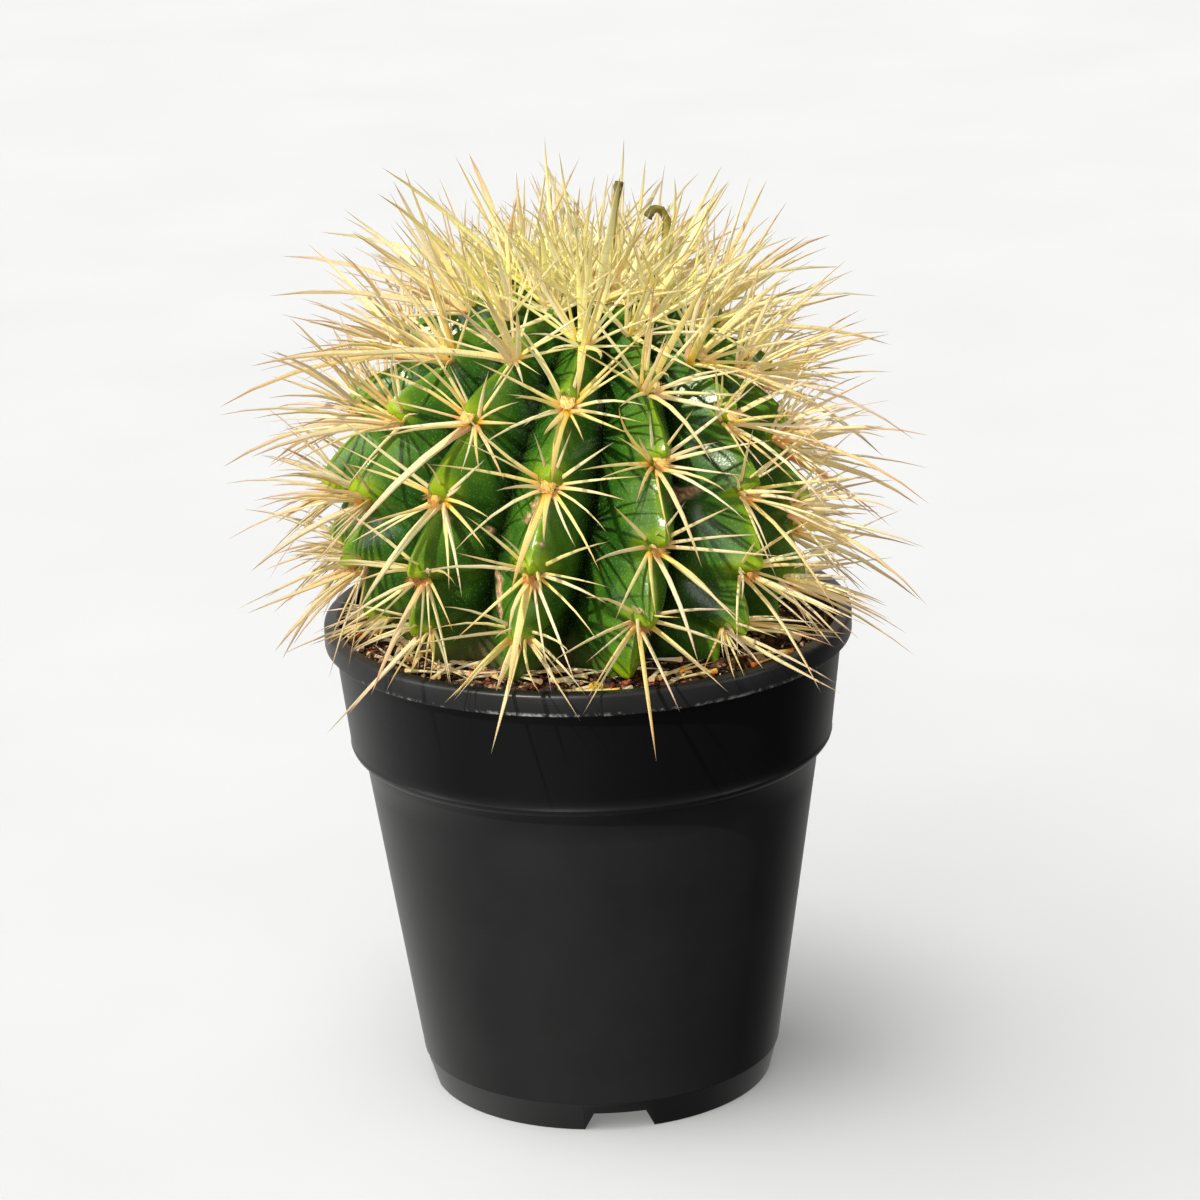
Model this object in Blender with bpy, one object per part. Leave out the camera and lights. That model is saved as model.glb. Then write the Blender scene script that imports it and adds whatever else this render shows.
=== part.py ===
"""A golden barrel cactus growing in a black nursery pot.

Everything is in metres with +Z up. The origin is the centre of the pot's foot, on the
surface that it stands on, and the front of the plant faces -Y. Lengths are written in
millimetres times MM, and angles in degrees. The plant has a frame of its own, whose
+Z runs up its core: a latitude is measured there from the widest ring towards the top,
and a longitude from the front towards +X.
"""
import math
import random

import bmesh
import bpy
from mathutils import Matrix, Vector, noise

MM = 0.001

# Clearance between two pieces that touch on the real plant
FIT = 0.3 * MM

# Pot: a thin moulded wall, 12 cm across the lip
POT_HEIGHT = 111.3 * MM
POT_SIDES = 64
WALL = 1.1 * MM
LIP_CORNER = 0.9 * MM
SHOULDER_CORNER = 2.4 * MM
LIP_RADIUS = 60.0 * MM
LIP_INNER_RADIUS = 56.5 * MM
LIP_DEPTH = 5.05 * MM
COLLAR_TOP_RADIUS = 57.75 * MM
COLLAR_FOOT_RADIUS = 55.2 * MM
COLLAR_FOOT_Z = 84.0 * MM
SHOULDER_Z = 80.5 * MM
BODY_TOP_RADIUS = 52.2 * MM
SEAM_RADIUS = 41.5 * MM
SEAM_Z = 7.1 * MM
FOOT_RADIUS = 39.5 * MM
FLOOR_Z = 5.6 * MM
FLOOR_THICKNESS = 1.4 * MM
NOTCHES = 4
NOTCH_TURN = 5.0
NOTCH_WIDTH = 16.0 * MM
NOTCH_TOP_WIDTH = 11.8 * MM
NOTCH_HEIGHT = 4.5 * MM
NOTCH_REACH = 8.0 * MM
DRAIN_HOLES = 6
DRAIN_RADIUS = 3.5 * MM
DRAIN_RING = 26.0 * MM

# Soil
SOIL_Z = 108.3 * MM
SOIL_RADIUS = LIP_INNER_RADIUS - FIT
SOIL_RELIEF = 1.1 * MM
SOIL_GRAIN = 7.0 * MM
SOIL_SIDES = 48
SOIL_RINGS = 9
HOLE_MARGIN = 1.3 * MM
HOLE_SIDES = 39
HOLE_RINGS = 20

# Plant: a ribbed barrel that leans a little forwards and to the right
PLANT_CENTRE = Vector((-3.6, -0.45, 134.8)) * MM
LEAN_FORWARD = 4.5
LEAN_RIGHT = 8.7
BARREL_RADIUS = 53.15 * MM
BARREL_RISE = 56.55 * MM
BARREL_DROP = 40.4 * MM
RIB_TWIST = 3.3
VALLEY_DEPTH = 14.5 * MM
CREST_SOFTNESS = 0.1
TUBERCLE = 1.6 * MM
TUBERCLE_LEAD = 0.08
TUBERCLE_SKEW = 0.55
CREST_WIDTH = 0.6
RIBS_FADE = (-56.0, -30.0)
DIMPLE_DEPTH = 2.5 * MM
DIMPLE_RADIUS = 9.0 * MM
FACETS_PER_RIB = 4
RINGS = 24
LOWEST_RINGS = 4
SOIL_LATITUDE = -44.0
ROOT_RADIUS = 6.0 * MM
ROOT_LENGTH = 24.0 * MM

# Each rib: its longitude, the latitude of its first areole, and the step to the next one
RIBS = (
    (-63.8, 64.4, 17.6),
    (-38.2, 71.4, 17.0),
    (-9.8, 80.2, 16.9),
    (19.8, 67.4, 16.7),
    (48.9, 72.2, 15.2),
    (74.6, 64.5, 16.05),
    (102.5, 73.0, 17.0),
    (129.5, 66.5, 16.6),
    (158.0, 76.0, 16.8),
    (185.0, 68.5, 16.2),
    (212.0, 73.5, 17.2),
    (241.5, 65.0, 16.5),
    (269.0, 74.5, 17.0),
)
STEP_GROWTH = 0.03
LOWEST_AREOLE = -42.0
LOWEST_AREOLE_Z = SOIL_Z + 3.0 * MM

# Spines, given by clock, the turn from straight up the rib, and lift out of the surface
RADIAL_CLOCKS = (50.0, 92.0, 134.0, -50.0, -92.0, -134.0)
RADIAL_LIFT = 30.0
RADIAL_LENGTH = 25.0 * MM
RADIAL_WIDTH = 0.6 * MM
CENTRAL_LENGTH = 36.0 * MM
CENTRAL_WIDTH = 0.85 * MM
LEADING_WIDTH = 1.0 * MM
LEADING_ARCH = 0.16
SHORTEST_SPINE = 6.0 * MM
CLOCK_WAVER = 9.0
RADIAL_LIFT_WAVER = (-8.0, 10.0)
RADIAL_LENGTH_WAVER = (0.84, 1.14)
CENTRAL_CLOCK_WAVER = 10.0
CENTRAL_LENGTH_WAVER = (0.9, 1.15)
INNER_CLOCK_WAVER = 40.0
INNER_LENGTH_WAVER = (0.78, 1.0)
BEND_SHARE = 0.55
BEND_TAPER = 0.72
ROOT_SINK = 2.4 * MM
ROOT_SPREAD = 1.4 * MM

# Spines are shorter near the soil, and a little shorter towards the top
LOW_SHORTENING = 0.4
LOW_LATITUDES = (-8.0, -40.0)
HIGH_SHORTENING = 0.12
HIGH_LATITUDES = (50.0, 75.0)

# Long leading spines, as (rib, areole): (clock, lift, length in mm)
LEADING = {
    (0, 0): (-172, 65, 43),
    (0, 1): (-174, 43, 48),
    (0, 2): (-179, 52, 41),
    (0, 3): (-179, 50, 30),
    (0, 4): (180, 60, 26),
    (1, 1): (-149, 35, 44),
    (1, 2): (-174, 23, 44),
    (1, 3): (172, 40, 44),
    (1, 4): (144, 55, 38),
    (2, 0): (150, 80, 36),
    (2, 1): (175, 25, 34),
    (2, 2): (176, 38, 36),
    (2, 3): (-176, 43, 40),
    (2, 4): (176, 45, 30),
    (2, 5): (180, 50, 14),
    (3, 1): (180, 33, 34),
    (3, 2): (-173, 42, 38),
    (3, 3): (-178, 53, 42),
    (3, 4): (-154, 67, 40),
    (4, 2): (-162, 36, 38),
    (4, 3): (-162, 42, 40),
    (4, 4): (-145, 56, 36),
    (5, 0): (180, 44, 41),
    (5, 1): (-176, 31, 41),
    (5, 2): (-175, 46, 38),
    (5, 3): (-178, 52, 36),
    (6, 0): (-179, 26, 42),
    (6, 1): (179, 29, 42),
    (6, 2): (-179, 23, 36),
    (6, 3): (179, 51, 38),
    (6, 4): (180, 67, 38),
    (7, 0): (170, 74, 28),
    (7, 1): (-179, 62, 41),
    (7, 2): (-173, 61, 42),
    (8, 0): (180, 36, 35),
    (9, 0): (169, 43, 37),
    (10, 1): (-160, 64, 37),
    (11, 0): (178, 25, 46),
    (11, 1): (178, 43, 43),
    (11, 3): (178, 40, 46),
    (11, 4): (173, 62, 40),
    (12, 0): (-176, 47, 42),
    (12, 1): (-177, 29, 43),
    (12, 2): (180, 27, 47),
    (12, 3): (180, 41, 34),
    (12, 5): (176, 39, 31),
}

# Young areoles packed round the growing point, as (latitude, how many)
YOUNG_RINGS = ((83.0, 7), (89.0, 1))
YOUNG_LENGTH = 27.0 * MM
YOUNG_SPINES = 4
YOUNG_LIFT = 58.0
YOUNG_CLOCK_WAVER = 25.0
YOUNG_LIFT_WAVER = 18.0
YOUNG_LENGTH_WAVER = (0.62, 1.0)
YOUNG_TURN = 20.0

# The tips fill a cylinder that stands a little left of the pot's axis
REACH = 80.6 * MM
REACH_CENTRE_X = -0.8 * MM
HIGHEST_TIP = 218.0 * MM
RIM_MARGIN = 1.6 * MM
SOIL_MARGIN = 0.9 * MM
LIFT_TRIES = 14
LIFT_STEP = 0.07
PUSH_STEP = 0.05
TRIM_STEP = 0.5 * MM

# Dried flowers among the spines at the top: latitude, longitude, height, radius and curl
FLOWERS = (
    ("dried_flower_stalk", 86.0, 150.0, 22.3 * MM, 1.0 * MM, 10.0),
    ("dried_flower_curl", 70.0, 120.0, 25.0 * MM, 1.1 * MM, -150.0),
)

# Its girth at its foot, and the share of its height, share of its curl and girth of each stage above
FLOWER_FOOT_GIRTH = 0.5
FLOWER_STAGES = (
    (0.40, 0.04, 1.0),
    (0.30, 0.06, 0.85),
    (0.14, 0.20, 0.75),
    (0.08, 0.35, 0.85),
    (0.08, 0.35, 1.0),
)
FLOWER_SEAT = FIT + 0.9 * MM
FLOWER_ROOM = 3.2 * MM
ROOM_SAMPLES = 4
FLOWER_SIDES = 7
FLOWER_UPRIGHTNESS = 1.5


def clear_scene():
    for thing in list(bpy.data.objects):
        bpy.data.objects.remove(thing, do_unlink=True)


def linear(hex_colour):
    """Turns an sRGB hex colour into the linear values that a shader socket takes."""
    channels = []
    for start in (1, 3, 5):
        value = int(hex_colour[start:start + 2], 16) / 255
        if value > 0.04045:
            channels.append(((value + 0.055) / 1.055) ** 2.4)
        else:
            channels.append(value / 12.92)
    return (*channels, 1.0)


def finish(name, hex_colour, roughness):
    material = bpy.data.materials.new(name)
    material.use_nodes = True
    shader = material.node_tree.nodes["Principled BSDF"]
    shader.inputs["Base Color"].default_value = linear(hex_colour)
    shader.inputs["Roughness"].default_value = roughness
    shader.inputs["Metallic"].default_value = 0.0
    material.diffuse_color = linear(hex_colour)
    return material


def add_object(name, bm, *materials):
    mesh = bpy.data.meshes.new(name)
    bm.to_mesh(mesh)
    bm.free()
    for material in materials:
        mesh.materials.append(material)
    thing = bpy.data.objects.new(name, mesh)
    bpy.context.scene.collection.objects.link(thing)
    return thing


def smooth(thing, sharp_angle):
    thing.data.shade_smooth()
    thing.data.set_sharp_from_angle(angle=math.radians(sharp_angle))


def apply_boolean(thing, operation, target, solver):
    """Joins or cuts an object with another object or a collection, and applies the result."""
    boolean = thing.modifiers.new("boolean", "BOOLEAN")
    boolean.operation = operation
    boolean.solver = solver
    if isinstance(target, bpy.types.Collection):
        boolean.operand_type = "COLLECTION"
        boolean.collection = target
    else:
        boolean.object = target
    with bpy.context.temp_override(object=thing, active_object=thing):
        bpy.ops.object.modifier_apply(modifier=boolean.name)


def lathe(profile, sides):
    """Turns a profile of (radius, height) points, which starts and ends on the axis."""
    bm = bmesh.new()
    corners = [bm.verts.new((radius, 0.0, height)) for radius, height in profile]
    edges = [bm.edges.new(pair) for pair in zip(corners, corners[1:])]
    bmesh.ops.spin(
        bm, geom=corners + edges, cent=(0, 0, 0), axis=(0, 0, 1),
        angle=math.tau, steps=sides, use_merge=True,
    )
    bmesh.ops.remove_doubles(bm, verts=bm.verts, dist=0.001 * MM)
    bmesh.ops.recalc_face_normals(bm, faces=bm.faces)
    return bm


def corner(centre, radius, start, end, steps=3):
    """Points of a rounded corner in a profile, from one angle to another."""
    points = []
    for step in range(steps + 1):
        angle = math.radians(start + (end - start) * step / steps)
        points.append((centre[0] + radius * math.cos(angle), centre[1] + radius * math.sin(angle)))
    return points


def body_radius(height):
    """Outer radius of the pot's tapered body between its seam and its shoulder."""
    taper = (BODY_TOP_RADIUS - SEAM_RADIUS) / (SHOULDER_Z - SEAM_Z)
    return SEAM_RADIUS + (height - SEAM_Z) * taper


def collar_radius(height):
    """Outer radius of the pot's collar between its shoulder and its lip."""
    taper = (COLLAR_TOP_RADIUS - COLLAR_FOOT_RADIUS) / (POT_HEIGHT - LIP_DEPTH - COLLAR_FOOT_Z)
    return COLLAR_FOOT_RADIUS + (height - COLLAR_FOOT_Z) * taper


def inner_wall():
    """The pot's inner wall from the lip down to the floor, as (radius, height) points."""
    shoulder_drop = 0.6 * MM
    return [
        (collar_radius(POT_HEIGHT - LIP_DEPTH) - WALL, POT_HEIGHT - LIP_DEPTH),
        (COLLAR_FOOT_RADIUS - WALL, COLLAR_FOOT_Z - shoulder_drop),
        (BODY_TOP_RADIUS - WALL, SHOULDER_Z + shoulder_drop),
        (body_radius(FLOOR_Z + 2 * WALL) - WALL, FLOOR_Z + 2 * WALL),
        (body_radius(FLOOR_Z) - 2.2 * WALL, FLOOR_Z),
    ]


def pot_profile():
    """Half the pot's section: the floor's underside, the outside, the lip and the inside."""
    lip_z = POT_HEIGHT - LIP_DEPTH
    profile = [(0.0, FLOOR_Z - FLOOR_THICKNESS)]
    profile.append((FOOT_RADIUS - WALL, FLOOR_Z - FLOOR_THICKNESS))
    profile += [(FOOT_RADIUS - WALL, 0.0), (FOOT_RADIUS, 0.0)]
    profile += [(SEAM_RADIUS, SEAM_Z), (BODY_TOP_RADIUS, SHOULDER_Z)]
    shoulder_centre = (COLLAR_FOOT_RADIUS - SHOULDER_CORNER, SHOULDER_Z + 0.2 * MM + SHOULDER_CORNER)
    profile += corner(shoulder_centre, SHOULDER_CORNER, -90, 0)
    profile += [(COLLAR_TOP_RADIUS, lip_z), (LIP_RADIUS - 0.3 * MM, lip_z), (LIP_RADIUS, lip_z + 0.4 * MM)]
    outer_centre = (LIP_RADIUS - LIP_CORNER, POT_HEIGHT - LIP_CORNER)
    profile += corner(outer_centre, LIP_CORNER, 0, 90)
    inner_centre = (LIP_INNER_RADIUS + LIP_CORNER, POT_HEIGHT - LIP_CORNER)
    profile += corner(inner_centre, LIP_CORNER, 90, 180)
    profile += inner_wall()
    profile.append((0.0, FLOOR_Z))
    return profile


def notch_cutter():
    """One wedge-sided block that cuts a drain notch through the front of the foot."""
    below = 2.0 * MM
    slope = (NOTCH_WIDTH - NOTCH_TOP_WIDTH) / NOTCH_HEIGHT
    bm = bmesh.new()
    bmesh.ops.create_cube(bm, size=1.0)
    for vert in bm.verts:
        top = vert.co.z > 0
        width = NOTCH_TOP_WIDTH if top else NOTCH_WIDTH + slope * below
        height = NOTCH_HEIGHT if top else -below
        vert.co = Vector((vert.co.x * width, vert.co.y * NOTCH_REACH - FOOT_RADIUS, height))
    return bm


def drain_cutter():
    """A short round bar that cuts a drain hole through the floor."""
    bm = bmesh.new()
    bmesh.ops.create_cone(
        bm, cap_ends=True, segments=12, radius1=DRAIN_RADIUS, radius2=DRAIN_RADIUS,
        depth=4 * FLOOR_THICKNESS,
    )
    bmesh.ops.translate(bm, vec=(0, DRAIN_RING, FLOOR_Z - FLOOR_THICKNESS / 2), verts=bm.verts)
    return bm


def cut_round(thing, make_cutter, count, first_turn):
    """Cuts the same shape out of an object at even turns about the pot's axis."""
    for index in range(count):
        bm = make_cutter()
        turn = Matrix.Rotation(math.radians(first_turn + index * 360 / count), 4, "Z")
        bmesh.ops.transform(bm, matrix=turn, verts=bm.verts)
        cutter = add_object("cutter", bm)
        apply_boolean(thing, "DIFFERENCE", cutter, "EXACT")
        bpy.data.objects.remove(cutter, do_unlink=True)


def make_pot():
    black = finish("moulded_polypropylene", "#1b1b1d", 0.42)
    pot = add_object("pot", lathe(pot_profile(), POT_SIDES), black)
    cut_round(pot, notch_cutter, NOTCHES, NOTCH_TURN)
    cut_round(pot, drain_cutter, DRAIN_HOLES, 0.0)
    smooth(pot, 35)


def plant_matrix():
    """Places the plant's own frame in the pot, with its lean."""
    lean = Matrix.Rotation(math.radians(LEAN_RIGHT), 4, "Y")
    lean = lean @ Matrix.Rotation(math.radians(LEAN_FORWARD), 4, "X")
    return Matrix.Translation(PLANT_CENTRE) @ lean


def barrel_point(latitude, longitude):
    """A point of the smooth barrel that the rib crests lie on, and its outward normal."""
    lat = math.radians(latitude)
    lon = math.radians(longitude + RIB_TWIST * lat)
    rise = BARREL_RISE if latitude > 0 else BARREL_DROP
    ring = BARREL_RADIUS * math.cos(lat)
    point = Vector((ring * math.sin(lon), -ring * math.cos(lon), rise * math.sin(lat)))
    normal = Vector((point.x / BARREL_RADIUS ** 2, point.y / BARREL_RADIUS ** 2, point.z / rise ** 2))
    return point, normal.normalized()


def areole_latitude(rib, number):
    first, step = RIBS[rib][1:]
    return first - step * number * (1 + STEP_GROWTH * number)


def across_rib(longitude):
    """The rib at a longitude, and the place across it: 0 on its crest, 1 or -1 in a valley."""
    for rib, (crest, _, _) in enumerate(RIBS):
        after = RIBS[(rib + 1) % len(RIBS)][0]
        before = RIBS[rib - 1][0]
        offset = (longitude - crest + 180) % 360 - 180
        half_after = ((after - crest) % 360) / 2
        half_before = ((crest - before) % 360) / 2
        if -half_before <= offset < half_after:
            return rib, offset / (half_after if offset > 0 else half_before)
    return 0, 0.0


def areole_phase(rib, latitude):
    """How far down a crest a latitude is, from 0 at one areole to 1 at the next one below."""
    number = -2
    while areole_latitude(rib, number + 1) > latitude:
        number += 1
    above = areole_latitude(rib, number)
    return (above - latitude) / (above - areole_latitude(rib, number + 1))


def swelling(phase):
    """1 on the chin just above an areole, -1 in the notch below it, and a slow rise between."""
    return math.cos(math.tau * ((phase + TUBERCLE_LEAD) % 1) ** TUBERCLE_SKEW)


def flank_depth(across):
    """How deep a flank lies across a rib, from 0 on its soft crest to 1 in the valley."""
    whole = math.hypot(1, CREST_SOFTNESS) - CREST_SOFTNESS
    return (math.hypot(across, CREST_SOFTNESS) - CREST_SOFTNESS) / whole


def smoothstep(low, high, value):
    share = min(max((value - low) / (high - low), 0.0), 1.0)
    return share * share * (3 - 2 * share)


def body_point(latitude, longitude):
    """A point of the ribbed body: the barrel with its valleys sunk and its tubercles raised."""
    rib, across = across_rib(longitude)
    point, normal = barrel_point(latitude, longitude)
    ribbing = math.cos(math.radians(latitude)) ** 0.8 * smoothstep(*RIBS_FADE, latitude)
    crest = math.exp(-(across / CREST_WIDTH) ** 2)
    dimple = math.exp(-((point.xy.length / DIMPLE_RADIUS) ** 2)) * smoothstep(60, 80, latitude)
    depth = VALLEY_DEPTH * ribbing * flank_depth(across) + DIMPLE_DEPTH * dimple
    depth -= TUBERCLE * swelling(areole_phase(rib, latitude)) * crest * ribbing
    return point - normal * depth


def ring_latitude(ring):
    """Rings are close together above the soil, and a few wide ones make the buried base."""
    if ring <= LOWEST_RINGS:
        return -90 + (SOIL_LATITUDE + 90) * ring / LOWEST_RINGS
    return SOIL_LATITUDE + (90 - SOIL_LATITUDE) * (ring - LOWEST_RINGS) / (RINGS - LOWEST_RINGS)


def root_point(turn, ring):
    """The stub of root below the body: its foot is a point, and it widens into the base."""
    height = -BARREL_DROP - ROOT_LENGTH * (1 - ring)
    radius = ROOT_RADIUS * ring
    return Vector((radius * math.sin(turn), -radius * math.cos(turn), height))


def rib_longitude(turn):
    """Spaces the meridians evenly within each rib, so that they follow its crest and valleys."""
    share = (turn % 360) / 360 * len(RIBS)
    rib = int(share + 1e-6)
    here = RIBS[rib % len(RIBS)][0]
    gap = (RIBS[(rib + 1) % len(RIBS)][0] - here) % 360
    return here + gap * (share - rib)


def make_body(skin, spine):
    """A sphere of rings and meridians, whose points are moved onto the ribbed body."""
    bm = bmesh.new()
    meridians = FACETS_PER_RIB * len(RIBS)
    bmesh.ops.create_uvsphere(bm, u_segments=meridians, v_segments=RINGS, radius=1.0)
    for vert in bm.verts:
        height = math.degrees(math.asin(max(-1.0, min(1.0, vert.co.z))))
        ring = round((height / 180 + 0.5) * RINGS)
        turn = math.atan2(vert.co.x, -vert.co.y)
        if ring < 2:
            vert.co = root_point(turn, ring)
        else:
            vert.co = body_point(ring_latitude(ring), rib_longitude(math.degrees(turn)))
    bmesh.ops.recalc_face_normals(bm, faces=bm.faces)
    bmesh.ops.transform(bm, matrix=plant_matrix(), verts=bm.verts)
    return add_object("cactus", bm, skin, spine)


def spine_direction(normal, clock, lift):
    """A direction out of an areole: the clock turns from straight up the rib to the right."""
    side = Vector((0, 0, 1)).cross(normal)
    side = side.normalized() if side.length > 1e-4 else Vector((1, 0, 0))
    up_rib = normal.cross(side)
    turn = math.radians(clock)
    rise = math.radians(lift)
    along = up_rib * math.cos(turn) + side * math.sin(turn)
    return along * math.cos(rise) + normal * math.sin(rise)


def keep_clear(root, direction, length):
    """Lifts a spine over the pot and the soil, then trims it to the plant's reach."""
    direction = direction.copy()
    outward = Vector((root.x, root.y, 0)).normalized()
    for _ in range(LIFT_TRIES):
        if not hits_pot(root, direction, length):
            break
        direction = (direction + LIFT_STEP * Vector((0, 0, 1)) + PUSH_STEP * outward).normalized()
    while hits_pot(root, direction, length) or leaves_reach(root + direction * length):
        length -= TRIM_STEP
        if length < SHORTEST_SPINE:
            break
    return direction, length


def hits_pot(root, direction, length):
    """Whether a spine comes too near the pot or the soil."""
    steps = 12
    for step in range(3, steps + 1):
        point = root + direction * (length * step / steps)
        radius = point.xy.length
        near_rim = radius > LIP_INNER_RADIUS - 2 * RIM_MARGIN
        floor = POT_HEIGHT + RIM_MARGIN if near_rim else SOIL_Z + SOIL_RELIEF + SOIL_MARGIN
        if point.z < floor and radius < LIP_RADIUS + RIM_MARGIN:
            return True
    return False


def leaves_reach(tip):
    return math.hypot(tip.x - REACH_CENTRE_X, tip.y) > REACH or tip.z > HIGHEST_TIP


def flower_frames(latitude, longitude, height, radius, curl):
    """Places for the rings of a dried flower, from its foot on the plant to its mouth."""
    normal = barrel_point(latitude, longitude)[1]
    foot = body_point(latitude, longitude) + normal * FLOWER_SEAT
    upright = (normal + Vector((0, 0, FLOWER_UPRIGHTNESS))).normalized()
    frame = plant_matrix() @ Matrix.Translation(foot) @ upright.to_track_quat("Z", "Y").to_matrix().to_4x4()
    frames = [frame @ Matrix.Scale(FLOWER_FOOT_GIRTH * radius, 4)]
    for rise, turn, girth in FLOWER_STAGES:
        frame = frame @ Matrix.Rotation(math.radians(curl * turn), 4, "X")
        frame = frame @ Matrix.Translation((0, 0, height * rise))
        frames.append(frame @ Matrix.Scale(girth * radius, 4))
    return frames


def flower_path(frames):
    """Points close together along a dried flower."""
    points = [frames[-1].translation]
    for before, after in zip(frames, frames[1:]):
        for sample in range(ROOM_SAMPLES):
            points.append(before.translation.lerp(after.translation, sample / ROOM_SAMPLES))
    return points


def crosses_flower(root, tip, paths):
    """Whether a spine passes through the room that a dried flower needs."""
    spine = tip - root
    for path in paths:
        for point in path:
            away = point - root
            share = min(max(away.dot(spine) / spine.length_squared, 0.0), 1.0)
            if (away - spine * share).length < FLOWER_ROOM:
                return True
    return False


def growth(latitude):
    """The share of its full length that a spine reaches at a latitude."""
    low = LOW_SHORTENING * (1 - smoothstep(*reversed(LOW_LATITUDES), latitude))
    return 1 - low - HIGH_SHORTENING * smoothstep(*HIGH_LATITUDES, latitude)


def areole_spines(rib, number, latitude):
    """The spines of one areole, as (clock, lift, length, half width)."""
    rng = random.Random(100 * rib + number)
    grown = growth(latitude)
    spines = []
    for clock in RADIAL_CLOCKS:
        length = RADIAL_LENGTH * grown * rng.uniform(*RADIAL_LENGTH_WAVER)
        lift = RADIAL_LIFT + rng.uniform(*RADIAL_LIFT_WAVER)
        spines.append((clock + rng.uniform(-CLOCK_WAVER, CLOCK_WAVER), lift, length, RADIAL_WIDTH))

    clock = 180 + rng.uniform(-CENTRAL_CLOCK_WAVER, CENTRAL_CLOCK_WAVER)
    lift = 58 - 0.55 * latitude + rng.uniform(-5, 5)
    length = CENTRAL_LENGTH * grown * rng.uniform(*CENTRAL_LENGTH_WAVER)
    width = CENTRAL_WIDTH
    if (rib, number) in LEADING:
        clock, lift, length = LEADING[rib, number]
        length *= MM
        width = LEADING_WIDTH
    spines.append((clock, lift, length, width))

    clock = 180 + rng.uniform(-INNER_CLOCK_WAVER, INNER_CLOCK_WAVER)
    lift = 84 - 22 * math.sin(math.radians(2 * max(latitude, 0))) + rng.uniform(-6, 6)
    length = CENTRAL_LENGTH * grown * rng.uniform(*INNER_LENGTH_WAVER)
    spines.append((clock, lift, length, CENTRAL_WIDTH))
    return spines


def young_spines(ring, number):
    """The upright spines of a young areole beside the growing point."""
    rng = random.Random(9000 + 100 * ring + number)
    spines = []
    for index in range(YOUNG_SPINES):
        clock = 360 * index / YOUNG_SPINES + rng.uniform(-YOUNG_CLOCK_WAVER, YOUNG_CLOCK_WAVER)
        length = YOUNG_LENGTH * rng.uniform(*YOUNG_LENGTH_WAVER)
        lift = YOUNG_LIFT + rng.uniform(-YOUNG_LIFT_WAVER, YOUNG_LIFT_WAVER)
        spines.append((clock, lift, length, RADIAL_WIDTH))
    return spines


def areoles():
    """Every areole above the soil, as (point, normal, spines) in the plant's frame."""
    found = []
    place = plant_matrix()
    for rib, (longitude, _, _) in enumerate(RIBS):
        number = 0
        while areole_latitude(rib, number) > LOWEST_AREOLE:
            latitude = areole_latitude(rib, number)
            normal = barrel_point(latitude, longitude)[1]
            point = body_point(latitude, longitude)
            if (place @ point).z > LOWEST_AREOLE_Z:
                found.append((point, normal, areole_spines(rib, number, latitude)))
            number += 1
    for ring, (latitude, count) in enumerate(YOUNG_RINGS):
        for number in range(count):
            longitude = 360 * number / count + YOUNG_TURN
            normal = barrel_point(latitude, longitude)[1]
            point = body_point(latitude, longitude)
            found.append((point, normal, young_spines(ring, number)))
    return found


def needle(root, direction, length, half_width, arch):
    """A three-sided tapering needle, which may arch a little, and ends in a point."""
    bm = bmesh.new()
    bmesh.ops.create_circle(bm, cap_ends=True, segments=3, radius=half_width)
    aim = direction.to_track_quat("Z", "Y").to_matrix().to_4x4()
    bmesh.ops.transform(bm, matrix=aim, verts=bm.verts)
    bm.faces.ensure_lookup_table()
    tip_face = bm.faces[0]
    shares = (BEND_SHARE, 1.0) if arch else (1.0,)
    before = Vector()
    for share in shares:
        here = direction * (length * share)
        here.z += arch * length * share * (1 - share)
        raised = bmesh.ops.extrude_face_region(bm, geom=[tip_face], use_keep_orig=True)
        if share > shares[0]:
            bmesh.ops.delete(bm, geom=[tip_face], context="FACES_ONLY")
        tip_face = next(item for item in raised["geom"] if isinstance(item, bmesh.types.BMFace))
        bmesh.ops.translate(bm, vec=here - before, verts=tip_face.verts)
        if share < 1:
            middle = Matrix.Translation(-here)
            bmesh.ops.scale(bm, vec=(BEND_TAPER,) * 3, space=middle, verts=tip_face.verts)
        before = here
    bmesh.ops.pointmerge(bm, verts=tip_face.verts, merge_co=before)
    bmesh.ops.recalc_face_normals(bm, faces=bm.faces)
    bmesh.ops.translate(bm, vec=root, verts=bm.verts)
    return bm


def make_needles(spine):
    """All the needles, each its own object in a collection, rooted well inside the body."""
    needles = bpy.data.collections.new("needles")
    bpy.context.scene.collection.children.link(needles)
    place = plant_matrix()
    turn = place.to_3x3()
    paths = [flower_path(flower_frames(*flower[1:])) for flower in FLOWERS]
    for point, normal, spines in areoles():
        areole = place @ point
        for clock, lift, length, half_width in spines:
            direction = turn @ spine_direction(normal, clock, lift)
            spread = turn @ spine_direction(normal, clock, 0) * ROOT_SPREAD
            root = areole + spread - turn @ normal * ROOT_SINK
            direction, length = keep_clear(areole, direction, length)
            tip = areole + direction * length
            if crosses_flower(areole, tip, paths):
                continue
            way = (tip - root).normalized()
            arch = LEADING_ARCH if half_width == LEADING_WIDTH else 0.0
            bm = needle(root, way, (tip - root).length, half_width, arch)
            thing = add_object("needle", bm, spine)
            bpy.context.scene.collection.objects.unlink(thing)
            needles.objects.link(thing)
    return needles


def make_cactus():
    skin = finish("cactus_skin", "#2c5a2a", 0.4)
    spine = finish("cactus_spine", "#e2c97a", 0.5)
    cactus = make_body(skin, spine)
    needles = make_needles(spine)
    apply_boolean(cactus, "UNION", needles, "MANIFOLD")
    for thing in list(needles.objects):
        bpy.data.objects.remove(thing, do_unlink=True)
    bpy.data.collections.remove(needles)
    smooth(cactus, 40)


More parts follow.
